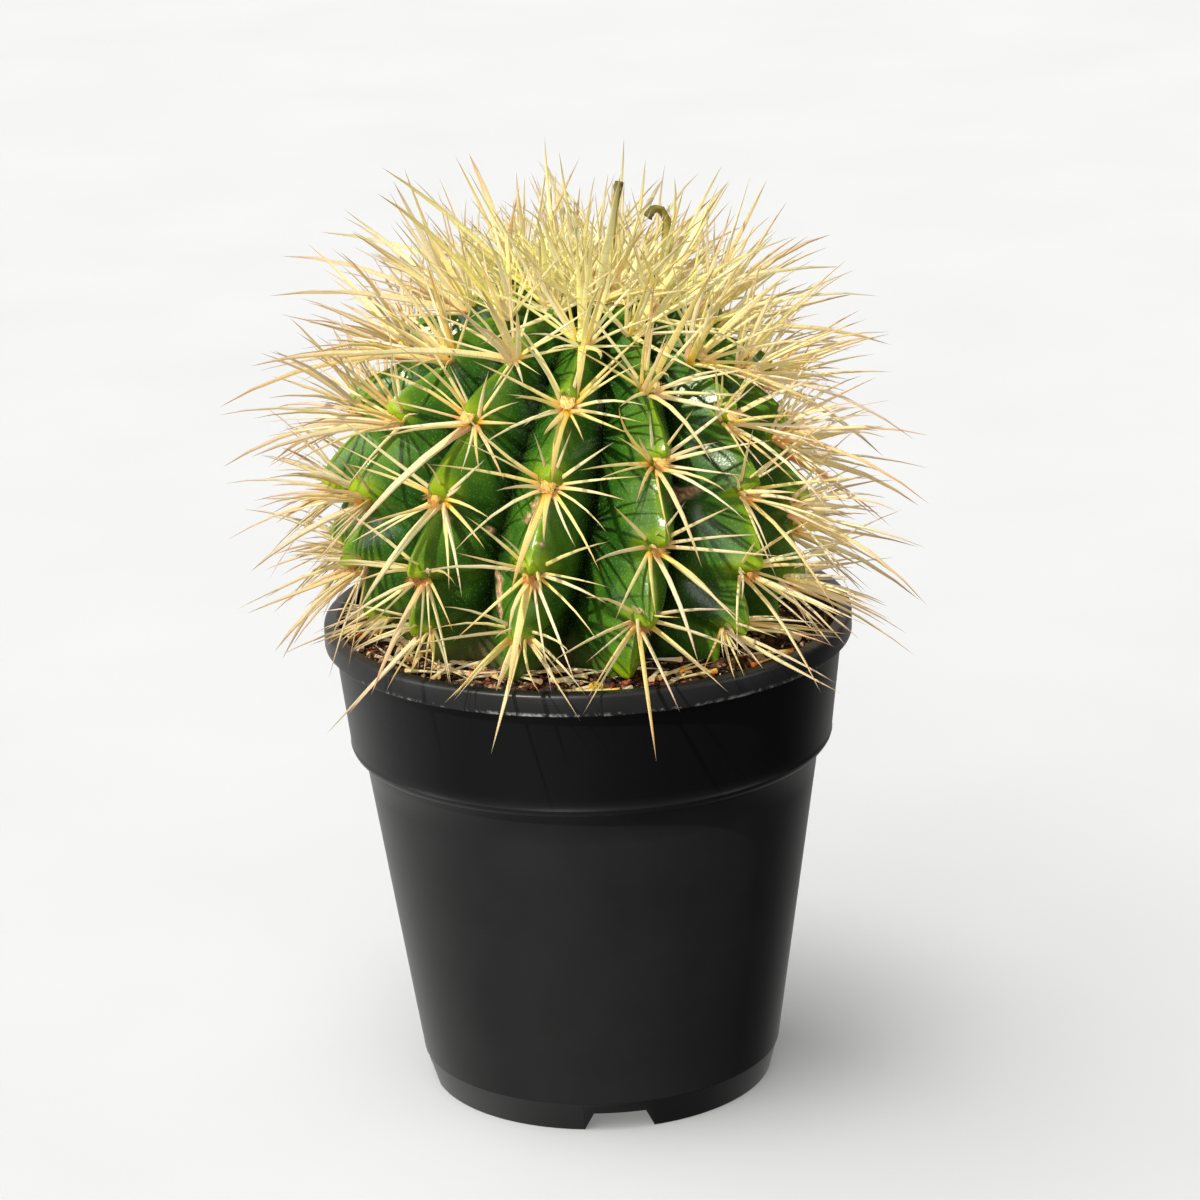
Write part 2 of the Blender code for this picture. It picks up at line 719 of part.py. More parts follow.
def soil_profile():
    """Half the soil's section: it follows the pot's inner wall and is level on top."""
    profile = [(0.0, FLOOR_Z + FIT)]
    for radius, height in reversed(inner_wall()):
        profile.append((radius - FIT, height + FIT))
    for ring in range(SOIL_RINGS + 1):
        profile.append((SOIL_RADIUS * (1 - ring / SOIL_RINGS), SOIL_Z))
    return profile


def hole_cutter():
    """A bowl with a stem below it, a little larger than the plant's buried base and root."""
    bm = bmesh.new()
    bmesh.ops.create_uvsphere(bm, u_segments=HOLE_SIDES, v_segments=HOLE_RINGS, radius=1.0)
    for vert in bm.verts:
        ring = round((math.degrees(math.asin(max(-1.0, min(1.0, vert.co.z)))) / 180 + 0.5) * HOLE_RINGS)
        turn = math.atan2(vert.co.x, -vert.co.y)
        radius = (BARREL_RADIUS + HOLE_MARGIN) * vert.co.xy.length
        height = (BARREL_DROP + HOLE_MARGIN) * vert.co.z
        if ring == 0:
            height = -BARREL_DROP - ROOT_LENGTH - 2 * HOLE_MARGIN
        elif ring == 1:
            radius = ROOT_RADIUS + HOLE_MARGIN
        vert.co = Vector((radius * math.sin(turn), -radius * math.cos(turn), height))
    bmesh.ops.recalc_face_normals(bm, faces=bm.faces)
    bmesh.ops.transform(bm, matrix=plant_matrix(), verts=bm.verts)
    return bm


def make_soil():
    """The potting mix: it fills the pot, is gritty on top, and has a hole for the plant."""
    bm = lathe(soil_profile(), SOIL_SIDES)
    for vert in bm.verts:
        inner = smoothstep(0, 6 * MM, SOIL_RADIUS - vert.co.xy.length)
        if vert.co.z > SOIL_Z - 0.01 * MM:
            vert.co.z += SOIL_RELIEF * inner * noise.noise(vert.co / SOIL_GRAIN)
    soil = add_object("soil", bm, finish("potting_mix", "#7c6044", 0.95))
    cutter = add_object("cutter", hole_cutter())
    apply_boolean(soil, "DIFFERENCE", cutter, "EXACT")
    bpy.data.objects.remove(cutter, do_unlink=True)
    smooth(soil, 35)


def make_flowers():
    """Dried flowers: withered tubes with a narrow foot, which bend over as they rise."""
    husk = finish("dried_petals", "#6f6a3c", 0.8)
    for name, *shape in FLOWERS:
        frames = flower_frames(*shape)
        bm = bmesh.new()
        bmesh.ops.create_circle(bm, cap_ends=True, segments=FLOWER_SIDES, radius=1.0)
        bmesh.ops.transform(bm, matrix=frames[0], verts=bm.verts)
        bm.faces.ensure_lookup_table()
        mouth = bm.faces[0]
        for before, after in zip(frames, frames[1:]):
            raised = bmesh.ops.extrude_face_region(bm, geom=[mouth], use_keep_orig=True)
            if before is not frames[0]:
                bmesh.ops.delete(bm, geom=[mouth], context="FACES_ONLY")
            mouth = next(item for item in raised["geom"] if isinstance(item, bmesh.types.BMFace))
            bmesh.ops.transform(bm, matrix=after @ before.inverted(), verts=mouth.verts)
        bmesh.ops.recalc_face_normals(bm, faces=bm.faces)
        smooth(add_object(name, bm, husk), 50)


clear_scene()
make_pot()
make_soil()
make_cactus()
make_flowers()
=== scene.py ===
# %% [markdown]
# # A golden barrel cactus in a black nursery pot
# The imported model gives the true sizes: a pot, its soil, the spiny body and two dried flowers.
# This lesson dresses each of them for a portrait. A cactus is a rule more than a drawing, so
# nearly everything here comes from a few measures of the plant and a seeded random number.

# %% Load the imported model
import math
import random

import bmesh
import bpy
from mathutils import Matrix, Vector, noise


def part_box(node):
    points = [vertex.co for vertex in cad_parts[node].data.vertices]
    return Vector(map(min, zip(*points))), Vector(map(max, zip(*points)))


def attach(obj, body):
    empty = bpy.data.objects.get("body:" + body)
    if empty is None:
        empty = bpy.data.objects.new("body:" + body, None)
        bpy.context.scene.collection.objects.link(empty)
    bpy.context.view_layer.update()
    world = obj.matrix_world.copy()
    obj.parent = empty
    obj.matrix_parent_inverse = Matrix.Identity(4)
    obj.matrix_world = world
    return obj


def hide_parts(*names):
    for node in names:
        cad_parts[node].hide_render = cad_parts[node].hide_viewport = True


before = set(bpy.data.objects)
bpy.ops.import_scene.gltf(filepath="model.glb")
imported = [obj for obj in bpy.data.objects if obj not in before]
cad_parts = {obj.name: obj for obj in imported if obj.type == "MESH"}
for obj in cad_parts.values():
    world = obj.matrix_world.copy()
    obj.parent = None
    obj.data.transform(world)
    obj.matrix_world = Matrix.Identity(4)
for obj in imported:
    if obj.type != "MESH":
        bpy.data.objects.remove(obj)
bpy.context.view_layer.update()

MM = 0.001


# %% [markdown]
# ## Small helpers
# Colours are easiest to read as the sRGB hex values of a colour picker, but a shader socket
# takes linear light, so one function converts them. Another adds a shader node and fills its
# inputs, by name or in their order: a node becomes a link from its first output, a hex colour
# is converted, and anything else is a plain value.

# %% Colours and shader nodes
def linear(hex_colour):
    """Turns an sRGB hex colour into linear values with an alpha of one."""
    channels = []
    for start in (1, 3, 5):
        value = int(hex_colour[start:start + 2], 16) / 255
        channels.append(((value + 0.055) / 1.055) ** 2.4 if value > 0.04045 else value / 12.92)
    return (*channels, 1.0)


def set_inputs(owner, node, inputs):
    """Sets the inputs of a node in a material or a world: a dict by name, or a tuple in order."""
    if not isinstance(inputs, dict):
        in_use = [number for number, socket in enumerate(node.inputs) if socket.enabled]
        inputs = dict(zip(in_use, inputs))
    for name, value in inputs.items():
        if isinstance(value, bpy.types.Node):
            value = next(socket for socket in value.outputs if socket.enabled)
        if isinstance(value, bpy.types.NodeSocket):
            owner.node_tree.links.new(value, node.inputs[name])
        else:
            node.inputs[name].default_value = linear(value) if isinstance(value, str) else value


def add_node(owner, kind, inputs=(), stops=(), **settings):
    """Adds a shader node with its settings and inputs, and the stops of its colour ramp."""
    node = owner.node_tree.nodes.new("ShaderNode" + kind)
    for name, value in settings.items():
        setattr(node, name, value)
    set_inputs(owner, node, inputs)
    for number, (place, colour) in enumerate(stops):
        ramp = node.color_ramp.elements
        stop = ramp[number] if number < 2 else ramp.new(place)
        stop.position = place
        stop.color = linear(colour)
    return node


def new_material(name):
    """An empty material, and the Object coordinates that its patterns are drawn in."""
    material = bpy.data.materials.new(name)
    material.use_nodes = True
    return material, add_node(material, "TexCoord").outputs["Object"]


def dress(material, inputs):
    """Sets the inputs of a material's Principled shader, and returns the material."""
    set_inputs(material, material.node_tree.nodes["Principled BSDF"], inputs)
    return material


def per_mm(size):
    """The scale of a pattern on Object coordinates whose features are this many mm wide."""
    return 1 / (size * MM)


# %% [markdown]
# ### From bmesh to piece
# Every shape is worked on as a bmesh. Most become a piece of the model, which rides on the
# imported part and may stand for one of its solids. A small one, such as the tuft of one areole,
# is poured into a larger one instead, because a few big pieces are handled faster than many.

# %% Meshes and pieces
def mesh_of(bm, name):
    """Turns a bmesh into a mesh, and frees it."""
    mesh = bpy.data.meshes.new(name)
    bm.to_mesh(mesh)
    bm.free()
    return mesh


def add_object(name, data):
    """An object in the scene, made of a mesh, a lamp or a camera."""
    thing = bpy.data.objects.new(name, data)
    bpy.context.scene.collection.objects.link(thing)
    return thing


def masked_bmesh(*masks):
    """An empty bmesh whose points can carry these numbers."""
    bm = bmesh.new()
    for name in masks:
        bm.verts.layers.float.new(name)
    return bm


def pour(part, whole):
    """Pours a small bmesh into a large one."""
    carrier = mesh_of(part, "carrier")
    whole.from_mesh(carrier)
    bpy.data.meshes.remove(carrier)


def smooth(piece, sharp_angle):
    """Shades faces as one curved skin, except across edges sharper than the angle."""
    piece.data.shade_smooth()
    piece.data.set_sharp_from_angle(angle=math.radians(sharp_angle))


def add_piece(name, bm, material, stands_for=(), sharp_angle=None):
    """Makes an object of a bmesh, lets it ride on the part, and hides the solids it stands for."""
    piece = add_object(name, mesh_of(bm, name))
    piece.data.materials.append(material)
    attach(piece, "root")
    if stands_for:
        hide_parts(*stands_for)
    if sharp_angle:
        smooth(piece, sharp_angle)
    triangles = sum(len(face.vertices) - 2 for face in piece.data.polygons)
    print(f"{name}: {triangles} triangles")
    return piece


def smoothstep(low, high, value):
    """Rises gently from 0 at low to 1 at high."""
    share = min(max((value - low) / (high - low), 0.0), 1.0)
    return share * share * (3 - 2 * share)


# %% [markdown]
# ## Camera
# The photograph looks down on the plant from almost a metre away with a long lens: the near
# rim of the pot is only a little lower than the far one, and the walls hardly converge. The
# camera is put at that place, turned by its pitch and yaw, and rolled a little, because the
# pot stands slightly askew in the picture.

# %% Place the camera
CAMERA_PLACE = Vector((0.0, -984.0, 429.9)) * MM
CAMERA_PITCH = math.radians(-17.83)
CAMERA_YAW = math.radians(0.168)
CAMERA_ROLL = math.radians(-1.883)
CAMERA_LENS = 136.37
SENSOR_WIDTH = 36.0

gaze = Vector((
    math.sin(CAMERA_YAW) * math.cos(CAMERA_PITCH),
    math.cos(CAMERA_YAW) * math.cos(CAMERA_PITCH),
    math.sin(CAMERA_PITCH),
))
camera = add_object("camera", bpy.data.cameras.new("camera"))
camera.data.lens = CAMERA_LENS
camera.data.sensor_width = SENSOR_WIDTH
camera.data.sensor_fit = "HORIZONTAL"
camera.matrix_world = (
    Matrix.Translation(CAMERA_PLACE)
    @ gaze.to_track_quat("-Z", "Y").to_matrix().to_4x4()
    @ Matrix.Rotation(CAMERA_ROLL, 4, "Z")
)
bpy.context.scene.camera = camera
print("Camera looks along", [round(value, 3) for value in gaze])


# %% [markdown]
# ## Floor and light
# The picture is a bright studio shot: a pale sheet, one hard lamp high on the left, and soft
# light that fills the shadows. The sheet glows a little by itself, as paper on a light table
# does, which keeps its shadow grey. It is hidden from diffuse and glossy rays, so that it
# doesn't wash out the black pot.

# %% Lay the floor
FLOOR_SIZE = 14.0
FLOOR_GLOW = 0.2

sheet, place = new_material("pale_studio_paper")
mottle = add_node(sheet, "TexNoise", (place, per_mm(90)))
tone = add_node(sheet, "ValToRGB", (mottle,), stops=((0.3, "#888887"), (0.7, "#8b8b8a")))
dress(sheet, {"Base Color": tone, "Emission Color": "#fdfefc", "Emission Strength": FLOOR_GLOW,
              "Roughness": 0.9, "Specular IOR Level": 0.1})

paper = bmesh.new()
bmesh.ops.create_grid(paper, x_segments=1, y_segments=1, size=FLOOR_SIZE / 2)
floor = add_object("floor", mesh_of(paper, "floor"))
floor.data.materials.append(sheet)
floor.visible_diffuse = False
floor.visible_glossy = False
print("Floor:", FLOOR_SIZE, "m across")


# %% [markdown]
# ### Three suns
# A hard sun throws crisp shadows of the spines on the ribs, but the shadow on the sheet is
# broad and soft: dark at the foot of the pot, and gone a hand's breadth away. One lamp can't
# do both, so light linking shares the work out. The hard sun lights everything except the
# floor. A soft one from the same side, as wide as a whole window wall, and a fainter one
# overhead light nothing but the floor. Three tall soft boxes are there for the pot, because
# black plastic shows little but its reflections.

# %% Hang the lamps
# Each sun: its name, where it shines from, its strength, width in degrees and colour, and
# whether it lights the floor alone (INCLUDE) or everything but the floor (EXCLUDE)
SUNS = (
    ("sun", (-0.5, -0.72, 1.0), 4.5, 1.2, "#fffaf0", "EXCLUDE"),
    ("soft_sun", (-0.9, -0.35, 1.0), 9.3, 110.0, "#ffffff", "INCLUDE"),
    ("top_sun", (-0.1, -0.15, 1.0), 1.6, 20.0, "#ffffff", "INCLUDE"),
)
# Each soft box: its name, its place and size in metres, and its power in watts
SOFT_BOXES = (
    ("front_box", (-0.34, -1.30, 0.30), (0.22, 0.8), 4.0),
    ("left_box", (-1.10, -0.25, 0.45), (0.30, 1.1), 6.0),
    ("right_box", (1.05, -0.45, 0.45), (0.20, 1.0), 2.6),
)
LAMP_AIM = Vector((0, 0, 0.1))


def add_lamp(name, kind, place, energy, floor_state):
    """A lamp that shines from a place towards the plant, with or without the floor."""
    lamp = add_object(name, bpy.data.lights.new(name, kind))
    towards = (LAMP_AIM - Vector(place)).to_track_quat("-Z", "Y").to_matrix().to_4x4()
    lamp.matrix_world = Matrix.Translation(place) @ towards
    lamp.data.energy = energy
    receivers = bpy.data.collections.new(name + "_receivers")
    receivers.objects.link(floor)
    receivers.collection_objects[0].light_linking.link_state = floor_state
    lamp.light_linking.receiver_collection = receivers
    return lamp


for name, place, energy, width, colour, floor_state in SUNS:
    sun = add_lamp(name, "SUN", place, energy, floor_state)
    sun.data.angle = math.radians(width)
    sun.data.color = linear(colour)[:3]
for name, place, size, power in SOFT_BOXES:
    box = add_lamp(name, "AREA", place, power, "EXCLUDE")
    box.data.shape = "RECTANGLE"
    box.data.size, box.data.size_y = size
print("Lamps:", len(SUNS) + len(SOFT_BOXES))


# %% [markdown]
# ### The room
# The world is an even pale grey for the light that it sheds. Glossy rays see another room,
# coloured by the compass: white behind the pot, which edges it with light on both sides, a
# pale window on the left, and dark in front and on the right. The arctangent of two of the
# ray's parts is its bearing, and the Light Path node tells one kind of ray from the other.

# %% Light the room
WORLD_STRENGTH = 0.36

world = bpy.data.worlds.new("studio")
world.use_nodes = True
fill = world.node_tree.nodes["Background"]
set_inputs(world, fill, ("#f6f6f4", WORLD_STRENGTH))
ray_way = add_node(world, "TexCoord").outputs["Generated"]
across, deep, _ = add_node(world, "SeparateXYZ", (ray_way,)).outputs
forwards = add_node(world, "Math", (deep, -1.0), operation="MULTIPLY")
bearing = add_node(world, "Math", (across, forwards), operation="ARCTAN2")
around = add_node(world, "MapRange", (bearing, -math.pi, math.pi))
room_tone = add_node(
    world, "ValToRGB", (around,),
    stops=((0.0, "#fafaf8"), (0.1, "#e4e4e2"), (0.22, "#a4a4a2"), (0.29, "#4c4c4c"),
           (0.34, "#525252"), (0.39, "#8a8a88"), (0.44, "#5a5a5a"), (0.56, "#3a3a3a"),
           (0.68, "#1c1c1c"), (0.84, "#1c1c1c"), (0.93, "#b0b0ae"), (1.0, "#fafaf8")),
)
reflected = add_node(world, "Background", (room_tone, 1.0))
ray = add_node(world, "LightPath").outputs["Is Glossy Ray"]
mixed = add_node(world, "MixShader", (ray, fill, reflected))
set_inputs(world, world.node_tree.nodes["World Output"], {"Surface": mixed})
bpy.context.scene.world = world
bpy.context.scene.view_settings.view_transform = "Standard"
print("World fill:", WORLD_STRENGTH)


# %% [markdown]
# ## The pot
# A nursery pot is polypropylene, moulded about a millimetre thick: a tapered body, a wider
# collar above a rounded shoulder, and a rolled lip. It is a turned shape, so half of its
# section is spun round the axis. The section goes up the outside and down the inside, which
# gives the wall its thickness at once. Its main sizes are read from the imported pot's box.

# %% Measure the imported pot
pot_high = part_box("pot")[1]
LIP_RADIUS = pot_high.x
POT_HEIGHT = pot_high.z
WALL = 1.1 * MM
LIP_INNER_RADIUS = LIP_RADIUS - 3.5 * MM
LIP_DEPTH = 5.05 * MM
LIP_Z = POT_HEIGHT - LIP_DEPTH
LIP_CORNER = 0.9 * MM
LIP_EDGE = 0.35 * MM
LIP_FILLET = 0.5 * MM
COLLAR_TOP_RADIUS = 57.75 * MM
COLLAR_FOOT_RADIUS = 55.2 * MM
COLLAR_FOOT_Z = 84.0 * MM
COLLAR_EDGE = 0.3 * MM
SHOULDER_Z = 80.5 * MM
SHOULDER_CORNER = 2.4 * MM
BODY_TOP_RADIUS = 52.2 * MM
SEAM_RADIUS = 41.5 * MM
SEAM_Z = 7.1 * MM
SEAM_STEP = 0.25 * MM
SEAM_BEVEL = 0.2 * MM
FOOT_RADIUS = 39.5 * MM
FOOT_BEVEL = 0.15 * MM
FLOOR_Z = 5.6 * MM
FLOOR_THICKNESS = 1.4 * MM
POT_SIDES = 256
print("Pot:", round(2 * LIP_RADIUS / MM, 1), "mm across,", round(POT_HEIGHT / MM, 1), "mm high")


# %% Draw half of its section
def arc(centre, radius, start, end, steps=6):
    """Points of a rounded corner in a section, from one angle to another."""
    angles = [math.radians(start + (end - start) * step / steps) for step in range(steps + 1)]
    x, z = centre
    return [(x + radius * math.cos(turn), z + radius * math.sin(turn)) for turn in angles]


def body_radius(height):
    """Outer radius of the pot between its seam and its shoulder."""
    return SEAM_RADIUS + (height - SEAM_Z) * (BODY_TOP_RADIUS - SEAM_RADIUS) / (SHOULDER_Z - SEAM_Z)


def collar_radius(height):
    """Outer radius of the pot between its shoulder and its lip."""
    slope = (COLLAR_TOP_RADIUS - COLLAR_FOOT_RADIUS) / (LIP_Z - COLLAR_FOOT_Z)
    return COLLAR_FOOT_RADIUS + (height - COLLAR_FOOT_Z) * slope


def bowed(start, end, radius_at, steps):
    """Points up a wall between two heights, so that its long faces aren't slivers."""
    heights = [start + (end - start) * step / steps for step in range(steps + 1)]
    return [(radius_at(height), height) for height in heights]


def outer_section():
    """From the middle of the floor's underside, up the outside, to the top of the lip."""
    foot_inside = FOOT_RADIUS - WALL
    underside = FLOOR_Z - FLOOR_THICKNESS
    shoulder = (COLLAR_FOOT_RADIUS - SHOULDER_CORNER, SHOULDER_Z + SEAM_BEVEL + SHOULDER_CORNER)
    return [
        (0.0, underside),
        (foot_inside, underside),
        (foot_inside, FOOT_BEVEL),
        (foot_inside + FOOT_BEVEL, 0.0),
        (FOOT_RADIUS - FOOT_BEVEL, 0.0),
        (FOOT_RADIUS, FOOT_BEVEL),
        (SEAM_RADIUS - SEAM_STEP, SEAM_Z - SEAM_BEVEL),
        (SEAM_RADIUS, SEAM_Z),
        *bowed(SEAM_Z + SEAM_BEVEL, SHOULDER_Z - COLLAR_EDGE, body_radius, 10),
        (BODY_TOP_RADIUS + COLLAR_EDGE, SHOULDER_Z),
        *arc(shoulder, SHOULDER_CORNER, -90, -25),
        *arc((COLLAR_FOOT_RADIUS - COLLAR_EDGE, shoulder[1] - COLLAR_EDGE), COLLAR_EDGE, -25, 30, 3),
        *bowed(COLLAR_FOOT_Z, LIP_Z - LIP_FILLET, collar_radius, 5),
        *arc((COLLAR_TOP_RADIUS + LIP_FILLET, LIP_Z - LIP_FILLET), LIP_FILLET, 180, 90, 3),
        *arc((LIP_RADIUS - LIP_EDGE, LIP_Z + LIP_EDGE), LIP_EDGE, -90, 0, 3),
        *arc((LIP_RADIUS - LIP_CORNER, POT_HEIGHT - LIP_CORNER), LIP_CORNER, 0, 90),
    ]


def inner_section(clearance=0.0):
    """From the lip down the inside to the floor, moved in by a clearance."""
    drop = 0.6 * MM
    foot = 2 * WALL
    points = [
        (collar_radius(LIP_Z) - WALL, LIP_Z),
        (COLLAR_FOOT_RADIUS - WALL, COLLAR_FOOT_Z - drop),
        (BODY_TOP_RADIUS - WALL, SHOULDER_Z + drop),
        (body_radius(FLOOR_Z + foot) - WALL, FLOOR_Z + foot),
        (body_radius(FLOOR_Z) - 2 * WALL - 0.2 * WALL, FLOOR_Z),
    ]
    return [(radius - clearance, height + clearance) for radius, height in points]


def lathe(section, sides):
    """Spins a section of (radius, height) points, which starts and ends on the axis."""
    bm = bmesh.new()
    corners = [bm.verts.new((radius, 0.0, height)) for radius, height in section]
    edges = [bm.edges.new(pair) for pair in zip(corners, corners[1:])]
    bmesh.ops.spin(
        bm, geom=corners + edges, cent=(0, 0, 0), axis=(0, 0, 1),
        angle=math.tau, steps=sides, use_merge=True,
    )
    bmesh.ops.remove_doubles(bm, verts=bm.verts, dist=0.001 * MM)
    bmesh.ops.recalc_face_normals(bm, faces=bm.faces)
    return bm


# %% [markdown]
# ### Notches and drain holes
# Four notches in the foot let water run away, and six holes let it out of the pot. Each is
# cut by a Boolean modifier with a simple block or bar, and applied, so that the piece ends
# up as one plain mesh.

# %% Cut the notches and the holes
NOTCHES = 4
NOTCH_TURN = 5.0
NOTCH_WIDTH = 16.0 * MM
NOTCH_TOP_WIDTH = 11.8 * MM
NOTCH_HEIGHT = 4.5 * MM
NOTCH_REACH = 8.0 * MM
NOTCH_BELOW = 2.0 * MM
DRAIN_HOLES = 6
DRAIN_RADIUS = 3.5 * MM
DRAIN_RING = 26.0 * MM
DRAIN_SIDES = 32


def notch_cutter():
    """A block with sloping ends, which reaches through the front of the foot."""
    slope = (NOTCH_WIDTH - NOTCH_TOP_WIDTH) / NOTCH_HEIGHT
    bm = bmesh.new()
    bmesh.ops.create_cube(bm, size=1.0)
    for vert in bm.verts:
        top = vert.co.z > 0
        width = NOTCH_TOP_WIDTH if top else NOTCH_WIDTH + slope * NOTCH_BELOW
        height = NOTCH_HEIGHT if top else -NOTCH_BELOW
        vert.co = Vector((vert.co.x * width, vert.co.y * NOTCH_REACH - FOOT_RADIUS, height))
    return bm


def drain_cutter():
    """A round bar that reaches through the floor."""
    bm = bmesh.new()
    bmesh.ops.create_cone(
        bm, cap_ends=True, segments=DRAIN_SIDES, radius1=DRAIN_RADIUS, radius2=DRAIN_RADIUS,
        depth=4 * FLOOR_THICKNESS,
    )
    bmesh.ops.translate(bm, vec=(0, DRAIN_RING, FLOOR_Z - FLOOR_THICKNESS / 2), verts=bm.verts)
    return bm


def cut_round(piece, make_cutter, count, first_turn):
    """Cuts the same shape out of a piece at even turns about the pot's axis."""
    for number in range(count):
        bm = make_cutter()
        turn = Matrix.Rotation(math.radians(first_turn + number * 360 / count), 4, "Z")
        bmesh.ops.transform(bm, matrix=turn, verts=bm.verts)
        cutter = add_object("cutter", mesh_of(bm, "cutter"))
        boolean = piece.modifiers.new("cut", "BOOLEAN")
        boolean.operation = "DIFFERENCE"
        boolean.solver = "EXACT"
        boolean.object = cutter
        with bpy.context.temp_override(object=piece, active_object=piece):
            bpy.ops.object.modifier_apply(modifier=boolean.name)
        bpy.data.objects.remove(cutter, do_unlink=True)


# %% [markdown]
# ### Moulded polypropylene
# The plastic is black and satin. The collar under the lip is drawn a shade blacker than the
# body below it, as painted shade where it catches less reflection. A grain finer than a
# millimetre breaks up the gloss, broader clouds vary the roughness, and thin scratches run
# round it. The sharp lower edge of the lip is scuffed pale, most of all at the front, which is
# what shows the lip from a step away.

# %% Mix the plastic
LIP_BLEND = 0.2 * MM
SCUFF_RISE = 0.25 * MM
SCUFF_HEIGHTS = (0.15 * MM, 0.75 * MM)
SCUFF_SHIFT = 5 * MM
SCUFF_SPAN = (10 * MM, 26 * MM)


def moulded_polypropylene():
    plastic, place = new_material("moulded_polypropylene")
    clouds = add_node(plastic, "TexNoise", (place, per_mm(14), 4.0))
    black = add_node(plastic, "ValToRGB", (clouds,), stops=((0.3, "#1d1d1e"), (0.75, "#212122")))
    x, _, z = add_node(plastic, "SeparateXYZ", (place,)).outputs
    # Painted shade: from the shoulder up to the lip, the collar is drawn blacker than the body.
    collar = add_node(plastic, "MapRange", (z, SHOULDER_Z, SHOULDER_Z + 2 * SHOULDER_CORNER))
    below_lip = add_node(plastic, "MapRange", (z, LIP_Z - LIP_BLEND, LIP_Z + LIP_BLEND, 1.0, 0.0))
    collar_painted_shade = add_node(plastic, "Math", (collar, below_lip), operation="MULTIPLY")
    black_with_collar_shade = add_node(plastic, "Mix", (collar_painted_shade, black, "#08080a"), data_type="RGBA")

    height = add_node(plastic, "Math", (z, LIP_Z + SCUFF_RISE), operation="SUBTRACT")
    away = add_node(plastic, "Math", (height,), operation="ABSOLUTE")
    edge = add_node(plastic, "MapRange", (away, *SCUFF_HEIGHTS, 1.0, 0.0))
    chips = add_node(plastic, "TexNoise", (place, per_mm(1.6), 3.0, 0.7))
    patches = add_node(plastic, "TexNoise", (place, per_mm(17)))
    many = add_node(plastic, "Math", (chips, patches), operation="ADD")
    worn = add_node(plastic, "MapRange", (many, 0.98, 1.2))
    rubbed = add_node(plastic, "Math", (edge, worn), operation="MULTIPLY")
    beside = add_node(plastic, "Math", (x, SCUFF_SHIFT), operation="ADD")
    aside = add_node(plastic, "Math", (beside,), operation="ABSOLUTE")
    handled = add_node(plastic, "MapRange", (aside, *SCUFF_SPAN, 1.0, 0.55))
    scuff = add_node(plastic, "Math", (rubbed, handled), operation="MULTIPLY")
    colour = add_node(plastic, "Mix", (scuff, black_with_collar_shade, "#9a9a98"), data_type="RGBA")

    gloss = add_node(plastic, "MapRange", (clouds, 0.25, 0.8, 0.37, 0.41))
    grain = add_node(plastic, "TexNoise", (place, per_mm(0.7), 2.0))
    stretched = add_node(plastic, "Mapping", {"Vector": place, "Scale": (1.0, 1.0, 30.0)})
    scratches = add_node(plastic, "TexNoise", (stretched, per_mm(22), 5.0))
    fine = add_node(plastic, "Bump", {"Height": grain, "Strength": 0.12, "Distance": 0.1 * MM})
    relief = add_node(
        plastic, "Bump", {"Height": scratches, "Strength": 0.1, "Distance": 0.15 * MM, "Normal": fine},
    )
    return dress(plastic, {"Base Color": colour, "Roughness": gloss, "Normal": relief, "IOR": 1.49,
                           "Specular IOR Level": 0.4})


# %% Turn the pot
lip_inside = arc((LIP_INNER_RADIUS + LIP_CORNER, POT_HEIGHT - LIP_CORNER), LIP_CORNER, 90, 180)
half_section = outer_section() + lip_inside + inner_section() + [(0.0, FLOOR_Z)]
pot = add_piece("nursery_pot", lathe(half_section, POT_SIDES), moulded_polypropylene(), ["pot"])
cut_round(pot, notch_cutter, NOTCHES, NOTCH_TURN)
cut_round(pot, drain_cutter, DRAIN_HOLES, 0.0)
smooth(pot, 50)
print("Pot faces after the cuts:", len(pot.data.polygons))


# %% [markdown]
# ## The plant's own frame
# The body is a barrel of thirteen ribs that leans a little forwards and to the right. Places
# on it are given as on a globe: a latitude above the widest ring, and a longitude from the
# front. A few small functions turn such a place into a point, so that ribs, areoles, spines
# and wool all agree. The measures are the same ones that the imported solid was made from.

# %% Note the plant's measures
PLANT_CENTRE = Vector((-3.6, -0.45, 134.8)) * MM
LEAN_FORWARD = 4.5
LEAN_RIGHT = 8.7
BARREL_RADIUS = 53.15 * MM
BARREL_RISE = 56.55 * MM
BARREL_DROP = 40.4 * MM
RIB_TWIST = 3.3
VALLEY_DEPTH = 14.5 * MM
CREST_SOFTNESS = 0.1
TUBERCLE = 1.6 * MM
TUBERCLE_LEAD = 0.08
TUBERCLE_SKEW = 0.55
CREST_WIDTH = 0.6
RIB_ROUNDING = 0.8
RIBS_FADE = (-56.0, -30.0)
DIMPLE_DEPTH = 2.5 * MM
DIMPLE_RADIUS = 9.0 * MM
DIMPLE_RISE = (60, 80)
SOIL_LATITUDE = -44.0
ROOT_RADIUS = 6.0 * MM
ROOT_LENGTH = 24.0 * MM

# Each rib: its longitude, the latitude of its first areole, and the step to the next one
RIBS = (
    (-63.8, 64.4, 17.6),
    (-38.2, 71.4, 17.0),
    (-9.8, 80.2, 16.9),
    (19.8, 67.4, 16.7),
    (48.9, 72.2, 15.2),
    (74.6, 64.5, 16.05),
    (102.5, 73.0, 17.0),
    (129.5, 66.5, 16.6),
    (158.0, 76.0, 16.8),
    (185.0, 68.5, 16.2),
    (212.0, 73.5, 17.2),
    (241.5, 65.0, 16.5),
    (269.0, 74.5, 17.0),
)
STEP_GROWTH = 0.03
LOWEST_AREOLE = -42.0

rightward = Matrix.Rotation(math.radians(LEAN_RIGHT), 4, "Y")
forward = Matrix.Rotation(math.radians(LEAN_FORWARD), 4, "X")
PLANT = Matrix.Translation(PLANT_CENTRE) @ (rightward @ forward)
TURN = PLANT.to_3x3()
UNPLANT = PLANT.inverted()
print("Ribs:", len(RIBS))


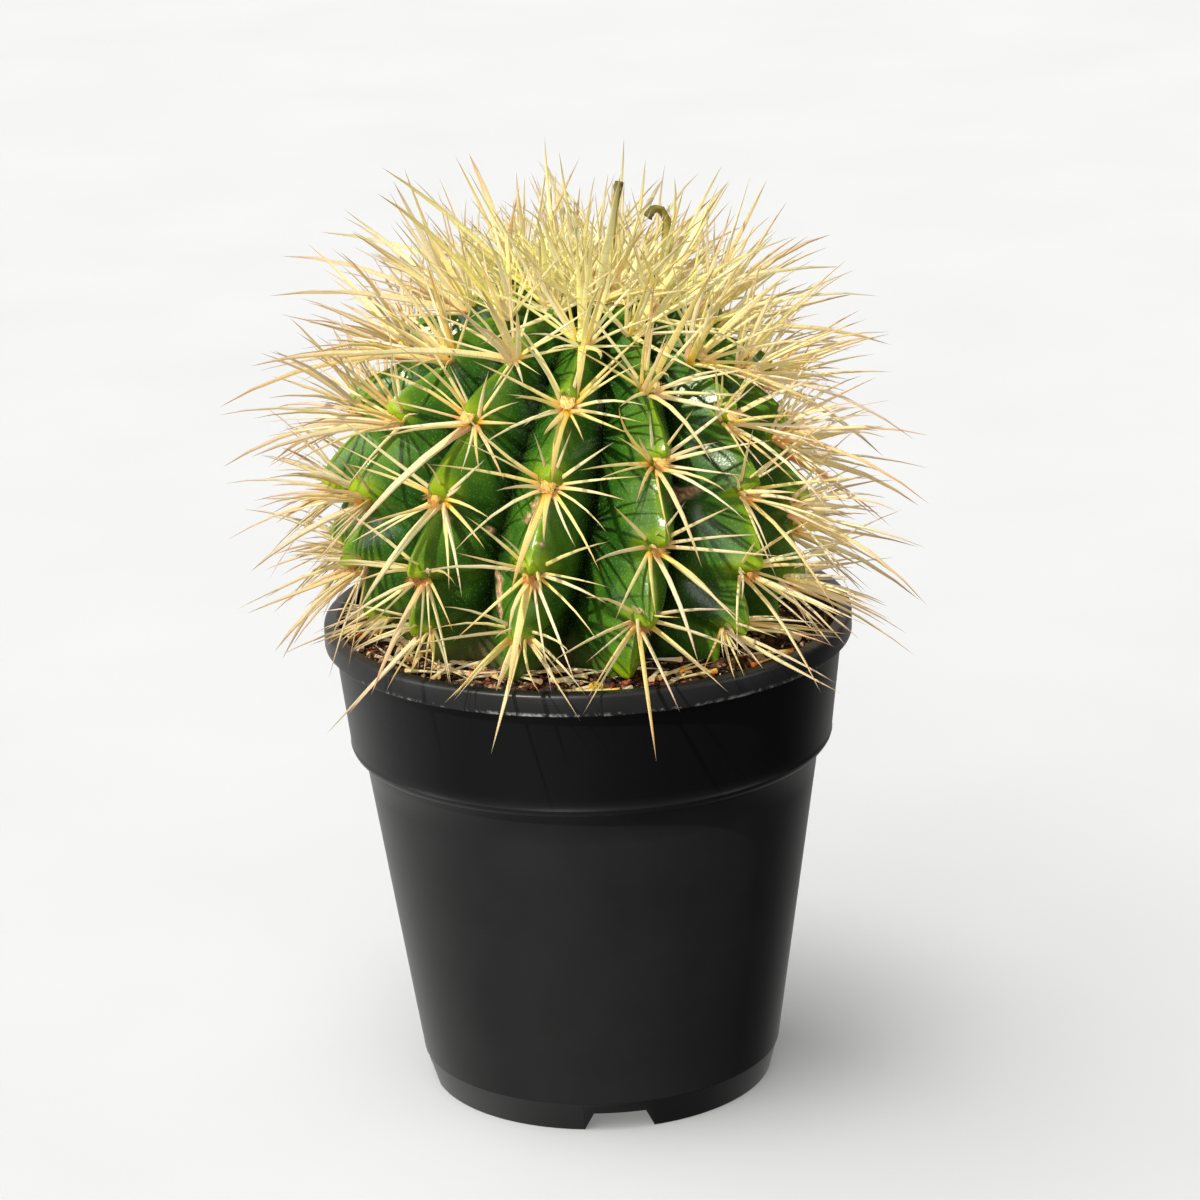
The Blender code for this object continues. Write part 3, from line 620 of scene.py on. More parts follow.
# %% Find a point on the barrel
def barrel_point(latitude, longitude):
    """A point of the smooth barrel that the rib crests lie on, and its outward normal."""
    lat = math.radians(latitude)
    lon = math.radians(longitude + RIB_TWIST * lat)
    rise = BARREL_RISE if latitude > 0 else BARREL_DROP
    ring = BARREL_RADIUS * math.cos(lat)
    point = Vector((ring * math.sin(lon), -ring * math.cos(lon), rise * math.sin(lat)))
    normal = Vector((point.x / BARREL_RADIUS ** 2, point.y / BARREL_RADIUS ** 2, point.z / rise ** 2))
    return point, normal.normalized()


def areole_latitude(rib, number):
    """The latitude of an areole, counted down its rib from 0. The steps grow a little."""
    first, step = RIBS[rib][1:]
    return first - step * number * (1 + STEP_GROWTH * number)


def across_rib(longitude):
    """The rib at a longitude, and the place across it: 0 on its crest, 1 or -1 in a valley."""
    for rib, (crest, _, _) in enumerate(RIBS):
        after = RIBS[(rib + 1) % len(RIBS)][0]
        before = RIBS[rib - 1][0]
        offset = (longitude - crest + 180) % 360 - 180
        half_after = ((after - crest) % 360) / 2
        half_before = ((crest - before) % 360) / 2
        if -half_before <= offset < half_after:
            return rib, offset / (half_after if offset > 0 else half_before)
    return 0, 0.0


def areole_phase(rib, latitude):
    """How far down a crest a latitude is, from 0 at one areole to 1 at the next one below."""
    number = -2
    while areole_latitude(rib, number + 1) > latitude:
        number += 1
    above = areole_latitude(rib, number)
    return (above - latitude) / (above - areole_latitude(rib, number + 1))


# %% [markdown]
# ## The body
# Each rib has two flat flanks that meet in a narrow crest. Towards every areole the crest
# swells into a chin, and a notch cuts in below it, where the next chin begins. All of that is
# one height above or below the barrel, so the mesh is a sphere of fine rings and meridians
# whose points are moved out or in. While a point is placed, a few facts about it are kept as
# attributes: how deep it lies in a valley, how lime green it is (young tissue on the keel and
# chins, and painted light on the chins' upward faces), whether an old scar has corked there,
# and how low it is. The skin reads them as masks.

# %% Shape the ribs
KEEL_HEIGHT = 0.5 * MM
KEEL_WIDTH = 0.13
CHIN_HEIGHT = 0.8 * MM
CREASE_DEPTH = 0.9 * MM
CREASE_PHASE = 0.17
CREASE_BEND = 0.22
CREASE_WIDTH = 0.05
CREASE_FLANKS = (0.75, 0.25)
WAVER = 0.5 * MM
WAVER_SIZE = 9.0 * MM
WAVER_FLANKS = (0.95, 0.5)
PLAIN_CROWN = (78, 62)


def flank_depth(across):
    """How deep a flank lies across a rib, from 0 on its soft crest to 1 in the valley."""
    whole = math.hypot(1, CREST_SOFTNESS) - CREST_SOFTNESS
    return (math.hypot(across, CREST_SOFTNESS) - CREST_SOFTNESS) / whole


def swelling(phase):
    """1 on the chin just above an areole, -1 in the notch below it, and a slow rise between."""
    return math.cos(math.tau * ((phase + TUBERCLE_LEAD) % 1) ** TUBERCLE_SKEW)


def rib_fade(latitude):
    """The ribs are as deep as the barrel is wide, and flatten towards the soil."""
    return math.cos(math.radians(latitude)) ** RIB_ROUNDING * smoothstep(*RIBS_FADE, latitude)


def body_point(latitude, longitude):
    """A point of the ribbed body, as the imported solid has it."""
    rib, across = across_rib(longitude)
    point, normal = barrel_point(latitude, longitude)
    ribbing = rib_fade(latitude)
    crest = math.exp(-(across / CREST_WIDTH) ** 2)
    dimple = math.exp(-((point.xy.length / DIMPLE_RADIUS) ** 2)) * smoothstep(*DIMPLE_RISE, latitude)
    depth = VALLEY_DEPTH * ribbing * flank_depth(across) + DIMPLE_DEPTH * dimple
    depth -= TUBERCLE * swelling(areole_phase(rib, latitude)) * crest * ribbing
    return point - normal * depth


def skin_point(latitude, longitude):
    """The same point with the keel, the creases and the slight waver of a living skin."""
    rib, across = across_rib(longitude)
    normal = barrel_point(latitude, longitude)[1]
    point = body_point(latitude, longitude)
    phase = areole_phase(rib, latitude)
    fade = rib_fade(latitude) * smoothstep(*PLAIN_CROWN, latitude)
    keel = KEEL_HEIGHT * math.exp(-(across / KEEL_WIDTH) ** 2)
    chin = CHIN_HEIGHT * swelling(phase) * math.exp(-(across / CREST_WIDTH) ** 2)
    bend = CREASE_PHASE + CREASE_BEND * across ** 2
    crease = CREASE_DEPTH * math.exp(-((phase - bend) / CREASE_WIDTH) ** 2)
    crease *= smoothstep(*CREASE_FLANKS, abs(across))
    waver = WAVER * noise.noise(point / WAVER_SIZE) * smoothstep(*WAVER_FLANKS, abs(across))
    return point + normal * ((keel + chin - crease) * fade + waver)


# %% [markdown]
# ### Old scars
# Where a spine or an insect once pricked the skin it has healed with tan cork. The ones that
# the picture shows are put at their latitudes and longitudes, and a seeded draw adds a few
# round the back. Each scar is a mask that fades over its radius, with a ragged edge.

# %% List the scars
# As latitude, longitude and radius in mm
SCARS = [
    (20.0, -12.5, 1.7), (17.0, -13.6, 1.4), (11.5, -8.0, 0.9), (9.6, -26.5, 1.0), (11.3, -35.5, 0.8),
    (-6.3, -19.4, 2.2), (-10.0, -18.0, 1.9), (-14.0, -16.5, 2.4), (-4.0, -22.0, 1.3),
    (1.5, -8.6, 0.8), (-1.9, 17.5, 0.9), (23.2, 34.1, 2.3), (24.5, 37.5, 1.6),
]
SCARS_BEHIND = 26
SCAR_SEARCH = 2.2
SCAR_EDGE = (1.15, 0.6)
CORK_GRAIN = 0.9 * MM
CORK_RAGGEDNESS = 0.7

rng = random.Random(41)
for _ in range(SCARS_BEHIND):
    SCARS.append((rng.uniform(-34, 40), rng.uniform(80, 290), rng.uniform(0.5, 2.0)))
scar_places = [(skin_point(lat, lon), radius * MM) for lat, lon, radius in SCARS]
print("Scars:", len(scar_places))


def cork(point):
    """How corky the skin is at a point, from 0 to 1."""
    most = 0.0
    for centre, radius in scar_places:
        away = (point - centre).length
        if away < SCAR_SEARCH * radius:
            ragged = 1 + CORK_RAGGEDNESS * noise.noise(point / CORK_GRAIN)
            outer, inner = (share * radius * ragged for share in SCAR_EDGE)
            most = max(most, smoothstep(outer, inner, away))
    return most


# %% Mould the body
FACETS_PER_RIB = 22
RINGS = 176
LOWEST_RINGS = 8
BODY_MASKS = ("valley", "fresh_and_lit", "cork", "low")
LIME_ABOVE = (0.55, 0.9)
LIME_BELOW = (0.1, 0.0)
CHIN_WIDTH = 0.42
KEEL_LIME = 0.6
KEEL_TINT_WIDTH = 0.12
SPLASHED = (-12, -44)


def ring_latitude(ring):
    """Rings are close together above the soil, and a few wide ones make the buried base."""
    if ring <= LOWEST_RINGS:
        return -90 + (SOIL_LATITUDE + 90) * ring / LOWEST_RINGS
    return SOIL_LATITUDE + (90 - SOIL_LATITUDE) * (ring - LOWEST_RINGS) / (RINGS - LOWEST_RINGS)


def rib_longitude(turn):
    """Spaces the meridians evenly within each rib, so that they follow its crest and valleys."""
    share = (turn % 360) / 360 * len(RIBS)
    rib = int(share + 1e-6)
    here = RIBS[rib % len(RIBS)][0]
    gap = (RIBS[(rib + 1) % len(RIBS)][0] - here) % 360
    return here + gap * (share - rib)


def mould_body():
    """A sphere of rings and meridians whose points are moved onto the ribbed body."""
    bm = masked_bmesh(*BODY_MASKS)
    layers = [bm.verts.layers.float[name] for name in BODY_MASKS]
    bmesh.ops.create_uvsphere(bm, u_segments=FACETS_PER_RIB * len(RIBS), v_segments=RINGS, radius=1.0)
    for vert in bm.verts:
        height = math.degrees(math.asin(max(-1.0, min(1.0, vert.co.z))))
        ring = round((height / 180 + 0.5) * RINGS)
        turn = math.atan2(vert.co.x, -vert.co.y)
        if ring < 2:
            radius = ROOT_RADIUS * ring
            depth = -BARREL_DROP - ROOT_LENGTH * (1 - ring)
            vert.co = Vector((radius * math.sin(turn), -radius * math.cos(turn), depth))
            continue
        latitude = ring_latitude(ring)
        longitude = rib_longitude(math.degrees(turn))
        rib, across = across_rib(longitude)
        phase = areole_phase(rib, latitude)
        vert.co = skin_point(latitude, longitude)
        # Lime mask: young tissue on the keel and chins, and painted light where a chin faces up.
        above = smoothstep(*LIME_ABOVE, phase) + smoothstep(*LIME_BELOW, phase)
        chin = above * math.exp(-(across / CHIN_WIDTH) ** 2)
        keel = KEEL_LIME * math.exp(-(across / KEEL_TINT_WIDTH) ** 2)
        fresh_and_lit = max(chin, keel) * rib_fade(latitude)
        values = (abs(across), fresh_and_lit, cork(vert.co), smoothstep(*SPLASHED, latitude))
        for layer, value in zip(layers, values):
            vert[layer] = value
    bmesh.ops.recalc_face_normals(bm, faces=bm.faces)
    bmesh.ops.transform(bm, matrix=PLANT, verts=bm.verts)
    return bm


# %% [markdown]
# ### Cactus skin
# The skin is a waxy green cuticle over wet tissue: glossy, slightly translucent, and freckled
# with pale pores a third of a millimetre across, drawn a little larger here so that they show.
# It is dark on the flanks, and painted shade makes it near black down in the valleys. The
# chins and the keel are lime green: young tissue where it is thin, and on the chins' upward
# faces painted light as well. Corked scars are matt, tan and rough, and low down the skin is
# dulled by splashes of soil.

# %% Mix the skin
def cactus_skin():
    skin, place = new_material("cactus_skin")
    valley, fresh_and_lit, cork_mask, low = (
        add_node(skin, "Attribute", attribute_name=name).outputs["Fac"] for name in BODY_MASKS
    )
    clouds = add_node(skin, "TexNoise", (place, per_mm(8), 5.0))
    flank = add_node(
        skin, "ValToRGB", (clouds,), stops=((0.28, "#1f460f"), (0.5, "#2d5a13"), (0.74, "#4c7719")),
    )
    crest = add_node(skin, "MapRange", (valley, 0.05, 0.5, 0.55, 0.0))
    on_crest = add_node(skin, "Mix", (crest, flank, "#5d841c"), data_type="RGBA")
    # Lime on the chins and keel: partly young tissue, partly painted light on the chins' upward faces.
    lime = add_node(skin, "Math", (fresh_and_lit, clouds), operation="MULTIPLY")
    lime_share = add_node(skin, "MapRange", (lime, 0.12, 0.52, 0.0, 0.9))
    growing = add_node(skin, "Mix", (lime_share, on_crest, "#95ad10"), data_type="RGBA")
    # Painted shade: the valleys are mixed towards near black.
    painted_valley_shade = add_node(skin, "MapRange", (valley, 0.62, 0.98, 0.0, 0.85))
    shaded = add_node(skin, "Mix", (painted_valley_shade, growing, "#0c1b04"), data_type="RGBA")

    pores = add_node(skin, "TexVoronoi", {"Vector": place, "Scale": per_mm(0.62), "Randomness": 1.0})
    dots = add_node(skin, "MapRange", (pores, 0.16, 0.3, 0.22, 0.0))
    freckled = add_node(skin, "Mix", (dots, shaded, "#9db98a"), data_type="RGBA")
    earth = add_node(skin, "TexNoise", (place, per_mm(3.5), 6.0))
    splash = add_node(skin, "Math", (low, earth), operation="MULTIPLY")
    splash_share = add_node(skin, "MapRange", (splash, 0.3, 0.6, 0.0, 0.7))
    soiled = add_node(skin, "Mix", (splash_share, freckled, "#5f5334"), data_type="RGBA")
    bark = add_node(skin, "TexNoise", (place, per_mm(0.9), 4.0))
    corky = add_node(
        skin, "ValToRGB", (bark,), stops=((0.3, "#8a5f3c"), (0.55, "#c79f78"), (0.75, "#ecd6b4")),
    )
    colour = add_node(skin, "Mix", (cork_mask, soiled, corky), data_type="RGBA")

    matt = add_node(skin, "Math", (cork_mask, splash_share), operation="MAXIMUM")
    gloss = add_node(skin, "MapRange", (matt, 0.0, 1.0, 0.27, 0.85))
    fine = add_node(skin, "Bump", {"Height": pores, "Strength": 0.18, "Distance": 0.12 * MM})
    rough = add_node(skin, "Math", (bark, cork_mask), operation="MULTIPLY")
    relief = add_node(
        skin, "Bump", {"Height": rough, "Strength": 0.9, "Distance": 0.6 * MM, "Normal": fine},
    )
    return dress(skin, {
        "Base Color": colour, "Roughness": gloss, "Normal": relief, "IOR": 1.45,
        "Specular IOR Level": 0.43, "Subsurface Weight": 0.16, "Subsurface Radius": (0.6, 1.0, 0.2),
        "Subsurface Scale": 1.4 * MM,
    })


# %% Make the body
add_piece("cactus_body", mould_body(), cactus_skin(), ["cactus"], sharp_angle=60)


# %% [markdown]
# ## Where the spines go
# Spines grow from areoles, the felted cushions on the crests. Each areole has a fan of thin
# radial spines that lie out over the ribs, and a few stouter central ones, of which the
# lowest is the longest. A spine is told by its clock, the turn from straight up the rib, and
# by its lift out of the skin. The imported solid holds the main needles. They are drawn here by
# the same rules and seeds, and the finer ones that fill the fan are added after them.

# %% Note the spines' measures
RADIAL_CLOCKS = (50.0, 92.0, 134.0, -50.0, -92.0, -134.0)
RADIAL_LIFT = 30.0
RADIAL_LENGTH = 25.0 * MM
RADIAL_WIDTH = 0.6 * MM
FINE_CLOCKS = (18.0, -20.0, 72.0, -70.0, 113.0, -112.0, 152.0, -155.0)
UPPER_CLOCK = 30
UPPER_LIFT = 44
CENTRAL_LENGTH = 36.0 * MM
CENTRAL_WIDTH = 0.85 * MM
LEADING_WIDTH = 1.0 * MM
SLIM_LEADING_WIDTH = 0.58 * MM
LEADING_ARCH = 0.16
SLIM_ARCH = 0.28
SHORTEST_SPINE = 6.0 * MM

# Long leading spines, as (rib, areole): (clock, lift, length in mm)
LEADING = {
    (0, 0): (-172, 65, 43), (0, 1): (-174, 43, 48), (0, 2): (-179, 52, 41), (0, 3): (-179, 50, 30),
    (0, 4): (180, 60, 26), (1, 1): (-149, 35, 44), (1, 2): (-174, 23, 44), (1, 3): (172, 40, 44),
    (1, 4): (144, 55, 38), (2, 0): (150, 80, 36), (2, 1): (175, 25, 34), (2, 2): (176, 38, 36),
    (2, 3): (-176, 43, 40), (2, 4): (176, 45, 30), (2, 5): (180, 50, 14), (3, 1): (180, 33, 34),
    (3, 2): (-173, 42, 38), (3, 3): (-178, 53, 42), (3, 4): (-154, 67, 40), (4, 2): (-162, 36, 38),
    (4, 3): (-162, 42, 40), (4, 4): (-145, 56, 36), (5, 0): (180, 44, 41), (5, 1): (-176, 31, 41),
    (5, 2): (-175, 46, 38), (5, 3): (-178, 52, 36), (6, 0): (-179, 26, 42), (6, 1): (179, 29, 42),
    (6, 2): (-179, 23, 36), (6, 3): (179, 51, 38), (6, 4): (180, 67, 38), (7, 0): (170, 74, 28),
    (7, 1): (-179, 62, 41), (7, 2): (-173, 61, 42), (8, 0): (180, 36, 35), (9, 0): (169, 43, 37),
    (10, 1): (-160, 64, 37), (11, 0): (178, 25, 46), (11, 1): (178, 43, 43), (11, 3): (178, 40, 46),
    (11, 4): (173, 62, 40), (12, 0): (-176, 47, 42), (12, 1): (-177, 29, 43), (12, 2): (180, 27, 47),
    (12, 3): (180, 41, 34), (12, 5): (176, 39, 31),
}

# Spines that stand out in the picture besides, as (rib, areole): (clock, lift, length in mm)
STANDING_OUT = {
    (1, 2): ((121, 13, 22),),
    (1, 3): ((130, 18, 27), (107, 10, 20)),
    (3, 3): ((136, 31, 26), (-137, 59, 30)),
    (3, 4): ((122, 38, 30),),
    (4, 2): ((-166, 33, 26),),
    (4, 3): ((137, 62, 32), (-163, 46, 26)),
    (4, 4): ((155, 80, 26),),
    (5, 2): ((-154, 26, 24),),
    (5, 4): ((-121, 68, 26),),
}
STANDING_OUT_WIDTH = 0.8

# Young areoles packed round the growing point, as (latitude, how many)
YOUNG_RINGS = ((83.0, 7), (89.0, 1))
YOUNG_LENGTH = 27.0 * MM
YOUNG_SPINES = 4
YOUNG_LIFT = 58.0
YOUNG_LIFT_WAVER = 18.0
YOUNG_LENGTH_WAVER = (0.62, 1.0)

# The ribs that face the camera, whose fans are thinner than those seen from the side
FRONT_RIBS = (1, 2, 3, 4)

# The ribs on the right, whose leading spines are as slim as the others
SLIM_RIBS = (3, 4, 5)
SLIM_CENTRAL = 0.8

# The brush at the top: how many more spines an upper areole has, and their size
BRUSH_LATITUDES = (30.0, 62.0)
BRUSH_EXTRA = 5
BRUSH_LENGTH = 38.0 * MM
BRUSH_WIDTH = 1.2 * MM

# More spines for each areole that is seen from the side or stands at the back
SIDE_EXTRA = 7

REACH = 80.6 * MM
REACH_CENTRE_X = -0.8 * MM
HIGHEST_TIP = 218.0 * MM
RIM_MARGIN = 1.6 * MM
SOIL_MARGIN = 0.9 * MM
WALK_STEPS = 12
LIFT_TRIES = 14
LIFT_STEP = 0.07
PUSH_STEP = 0.05
TRIM_STEP = 0.5 * MM
SOIL_Z = 108.3 * MM
SOIL_RELIEF = 1.1 * MM
LOWEST_AREOLE_Z = SOIL_Z + 3.0 * MM

# Dried flowers: name, latitude, longitude, height, radius and curl
FLOWERS = (
    ("dried_flower_stalk", 86.0, 150.0, 22.3 * MM, 1.0 * MM, 10.0),
    ("dried_flower_curl", 70.0, 120.0, 25.0 * MM, 1.1 * MM, -150.0),
)

# A flower's girth at its foot, and for each stage above it the share of the height, the share
# of the curl, and the girth
FLOWER_FOOT_GIRTH = 0.5
FLOWER_STAGES = (
    (0.40, 0.04, 1.0),
    (0.30, 0.06, 0.85),
    (0.14, 0.20, 0.75),
    (0.08, 0.35, 0.85),
    (0.08, 0.35, 1.0),
)
FLOWER_SEAT = 1.2 * MM
FLOWER_UPRIGHTNESS = 1.5
FLOWER_ROOM = 3.2 * MM
FINE_ROOM = 1.4 * MM
ROOM_SAMPLES = 4
print("Leading spines placed by hand:", len(LEADING))


# %% [markdown]
# ### Staying clear of the pot
# A low spine has to pass over the soil and the rim, as the real ones do where they grew
# against the pot. Each spine is walked from root to tip. While it would touch, it is lifted a
# little, and if that isn't enough it is shortened. The same walk keeps the tips inside the
# plant's true reach, and a spine that would pass through a dried flower is left out.

# %% Steer a spine
def level_side(normal, upright=Vector((0, 0, 1))):
    """The level direction across a rib, for a place on the plant with this normal."""
    side = upright.cross(normal)
    return side.normalized() if side.length > 1e-4 else Vector((1, 0, 0))


def spine_direction(normal, clock, lift):
    """A direction out of an areole: the clock turns from straight up the rib to the right."""
    side = level_side(normal)
    turn = math.radians(clock)
    rise = math.radians(lift)
    along = normal.cross(side) * math.cos(turn) + side * math.sin(turn)
    return along * math.cos(rise) + normal * math.sin(rise)


def hits_pot(root, direction, length):
    """Whether a spine comes too near the pot or the soil."""
    for step in range(3, WALK_STEPS + 1):
        point = root + direction * (length * step / WALK_STEPS)
        radius = point.xy.length
        near_rim = radius > LIP_INNER_RADIUS - 2 * RIM_MARGIN
        floor_z = POT_HEIGHT + RIM_MARGIN if near_rim else SOIL_Z + SOIL_RELIEF + SOIL_MARGIN
        if point.z < floor_z and radius < LIP_RADIUS + RIM_MARGIN:
            return True
    return False


def leaves_reach(tip, short):
    """Whether a tip is outside the plant's reach, which may be taken a little short."""
    return math.hypot(tip.x - REACH_CENTRE_X, tip.y) > REACH - short or tip.z > HIGHEST_TIP - short


def keep_clear(root, direction, length, short=0.0):
    """Lifts a spine over the pot and the soil, then trims it to the plant's reach."""
    direction = direction.copy()
    outward = Vector((root.x, root.y, 0)).normalized()
    for _ in range(LIFT_TRIES):
        if not hits_pot(root, direction, length):
            break
        direction = (direction + LIFT_STEP * Vector((0, 0, 1)) + PUSH_STEP * outward).normalized()
    while hits_pot(root, direction, length) or leaves_reach(root + direction * length, short):
        length -= TRIM_STEP
        if length < SHORTEST_SPINE:
            break
    return direction, length


def flower_frames(latitude, longitude, height, curl):
    """Places up a dried flower, from its foot on the plant to its mouth, each with its girth."""
    normal = barrel_point(latitude, longitude)[1]
    foot = body_point(latitude, longitude) + normal * FLOWER_SEAT
    upright = (normal + Vector((0, 0, FLOWER_UPRIGHTNESS))).normalized()
    place = PLANT @ Matrix.Translation(foot) @ upright.to_track_quat("Z", "Y").to_matrix().to_4x4()
    frames = [(place, FLOWER_FOOT_GIRTH)]
    for rise, turn, girth in FLOWER_STAGES:
        place = place @ Matrix.Rotation(math.radians(curl * turn), 4, "X")
        place = place @ Matrix.Translation((0, 0, height * rise))
        frames.append((place, girth))
    return frames


def flower_path(frames):
    """Points close together along a dried flower."""
    points = [frames[-1][0].translation]
    for (before, _), (after, _) in zip(frames, frames[1:]):
        for sample in range(ROOM_SAMPLES):
            points.append(before.translation.lerp(after.translation, sample / ROOM_SAMPLES))
    return points


flower_paths = [
    flower_path(flower_frames(latitude, longitude, height, curl))
    for _, latitude, longitude, height, _, curl in FLOWERS
]


def crosses_flower(root, tip, room):
    """Whether a spine passes through the room that a dried flower needs."""
    spine = tip - root
    for path in flower_paths:
        for point in path:
            away = point - root
            share = min(max(away.dot(spine) / spine.length_squared, 0.0), 1.0)
            if (away - spine * share).length < room:
                return True
    return False


# %% [markdown]
# ### The fan of one areole
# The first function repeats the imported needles, draw by draw, so nothing in it may change
# order. The second one adds what the solid left out: short upper radials, thin ones between
# the main ones, one or two slender centrals, and more where the plant is seen from the side or
# near the top. Round the growing point young areoles crowd together: their upright needles are
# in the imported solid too, and the last function draws the pale brush between them.

# %% Draw the spines of an areole
OLD_SHORTENING = 0.4
OLD_LATITUDES = (8, 40)
YOUNG_SHORTENING = 0.12
TOP_LATITUDES = (50, 75)


def growth_at(latitude):
    """Spines are a little shorter low down, and near the top where they are young."""
    low = OLD_SHORTENING * smoothstep(*OLD_LATITUDES, -latitude)
    return 1 - low - YOUNG_SHORTENING * smoothstep(*TOP_LATITUDES, latitude)


def main_spines(rib, number, latitude):
    """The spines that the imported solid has, as (clock, lift, length, half width)."""
    rng = random.Random(100 * rib + number)
    growth = growth_at(latitude)
    spines = []
    for clock in RADIAL_CLOCKS:
        length = RADIAL_LENGTH * growth * rng.uniform(0.84, 1.14)
        lift = RADIAL_LIFT + rng.uniform(-8, 10)
        spines.append((clock + rng.uniform(-9, 9), lift, length, RADIAL_WIDTH))

    clock = 180 + rng.uniform(-10, 10)
    lift = 58 - 0.55 * latitude + rng.uniform(-5, 5)
    length = CENTRAL_LENGTH * growth * rng.uniform(0.9, 1.15)
    width = CENTRAL_WIDTH
    if (rib, number) in LEADING:
        clock, lift, length = LEADING[rib, number]
        length *= MM
        width = SLIM_LEADING_WIDTH if rib in SLIM_RIBS else LEADING_WIDTH
    spines.append((clock, lift, length, width))

    clock = 180 + rng.uniform(-40, 40)
    lift = 84 - 22 * math.sin(math.radians(2 * max(latitude, 0))) + rng.uniform(-6, 6)
    length = CENTRAL_LENGTH * growth * rng.uniform(0.78, 1.0)
    width = CENTRAL_WIDTH * (SLIM_CENTRAL if rib in SLIM_RIBS else 1.0)
    spines.append((clock, lift, length, width))
    return spines


def finer_spines(rib, number, latitude):
    """The thinner spines of the same areole."""
    rng = random.Random(5000 + 100 * rib + number)
    growth = growth_at(latitude)
    at_front = rib in FRONT_RIBS
    spines = []
    for clock in FINE_CLOCKS:
        upper = abs(clock) < UPPER_CLOCK
        if rng.random() < (0.1 if upper else 0.42 if at_front else 0.2):
            continue
        length = RADIAL_LENGTH * growth * rng.uniform(0.7, 1.05) * (0.72 if upper else 1.0)
        lift = (UPPER_LIFT if upper else RADIAL_LIFT) + rng.uniform(-12, 14)
        clock += rng.uniform(-10, 10)
        spines.append((clock, lift, length, RADIAL_WIDTH * rng.uniform(0.62, 0.9)))
    for side in (-1, 1):
        if rng.random() < (0.35 if at_front else 0.1):
            continue
        clock = side * rng.uniform(40, 130)
        length = CENTRAL_LENGTH * growth * rng.uniform(0.6, 0.85)
        spines.append((clock, rng.uniform(52, 74), length, CENTRAL_WIDTH * rng.uniform(0.65, 0.9)))
    for clock, lift, length in STANDING_OUT.get((rib, number), ()):
        spines.append((clock, lift, length * MM, CENTRAL_WIDTH * STANDING_OUT_WIDTH))
    for _ in range(0 if at_front else SIDE_EXTRA):
        length = CENTRAL_LENGTH * growth * rng.uniform(0.55, 0.95)
        width = CENTRAL_WIDTH * rng.uniform(0.6, 0.95)
        spines.append((rng.uniform(-180, 180), rng.uniform(28, 78), length, width))
    extra = round(BRUSH_EXTRA * smoothstep(*BRUSH_LATITUDES, latitude) * rng.uniform(0.8, 1.2))
    for _ in range(extra):
        length = BRUSH_LENGTH * rng.uniform(0.6, 1.0)
        width = BRUSH_WIDTH * rng.uniform(0.6, 1.05)
        spines.append((rng.uniform(-180, 180), rng.uniform(34, 80), length, width))
    return spines


def young_spines(ring, number):
    """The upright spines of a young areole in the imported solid."""
    rng = random.Random(9000 + 100 * ring + number)
    spines = []
    for index in range(YOUNG_SPINES):
        clock = 360 * index / YOUNG_SPINES + rng.uniform(-25, 25)
        length = YOUNG_LENGTH * rng.uniform(*YOUNG_LENGTH_WAVER)
        lift = YOUNG_LIFT + rng.uniform(-YOUNG_LIFT_WAVER, YOUNG_LIFT_WAVER)
        spines.append((clock, lift, length, RADIAL_WIDTH))
    return spines


def crown_spines(rng):
    """The brush of spines of an areole that has just left the growing point."""
    spines = []
    for _ in range(rng.randint(4, 7)):
        clock = rng.uniform(-180, 180)
        lift = rng.uniform(24, 80)
        length = BRUSH_LENGTH * rng.uniform(0.5, 1.0)
        spines.append((clock, lift, length, BRUSH_WIDTH * rng.uniform(0.6, 1.1)))
    return spines


# %% Gather every areole
CROWN_START = 9.5
CROWN_STEP = 8.0
CROWN_END = 87
YOUNG_TURN = 20


def areole(latitude, longitude, main, fine, young):
    """One areole: its point and normal, its spines, and whether it is young."""
    point = PLANT @ body_point(latitude, longitude)
    normal = barrel_point(latitude, longitude)[1]
    return {
        "point": point, "normal": normal, "latitude": latitude,
        "main": main, "fine": fine, "young": young,
    }


def gather_areoles():
    """Down each rib, then up it to the crown, and last round the growing point."""
    found = []
    for rib, (longitude, first, _) in enumerate(RIBS):
        number = 0
        while areole_latitude(rib, number) > LOWEST_AREOLE:
            latitude = areole_latitude(rib, number)
            main = main_spines(rib, number, latitude)
            place = areole(latitude, longitude, main, finer_spines(rib, number, latitude), number == 0)
            if place["point"].z > LOWEST_AREOLE_Z:
                found.append(place)
            number += 1
        rng = random.Random(700 + rib)
        latitude = first + CROWN_START
        while latitude < CROWN_END:
            found.append(areole(latitude, longitude, [], crown_spines(rng), True))
            latitude += CROWN_STEP
    for ring, (latitude, count) in enumerate(YOUNG_RINGS):
        for number in range(count):
            longitude = 360 * number / count + YOUNG_TURN
            fine = crown_spines(random.Random(800 + 10 * ring + number))
            found.append(areole(latitude, longitude, young_spines(ring, number), fine, True))
    return found


AREOLES = gather_areoles()
print("Areoles:", len(AREOLES))


# %% [markdown]
# ## One spine
# A spine is a horny blade: round and swollen at its root, flatter along the way, and drawn to
# a hard point. One template is extruded from a small ring and closed at its tip. Each spine
# is a copy of it whose points are moved onto its own bowed path. Every point also keeps how
# far along it is, its distance in millimetres from the root, and facts about its spine: a tint
# of its own, whether it is broad, how weathered it is, and a mask of dullness and painted side
# light, which is shade on the sun's side of the plant and light on the far side. So one
# material can colour thousands of spines differently.

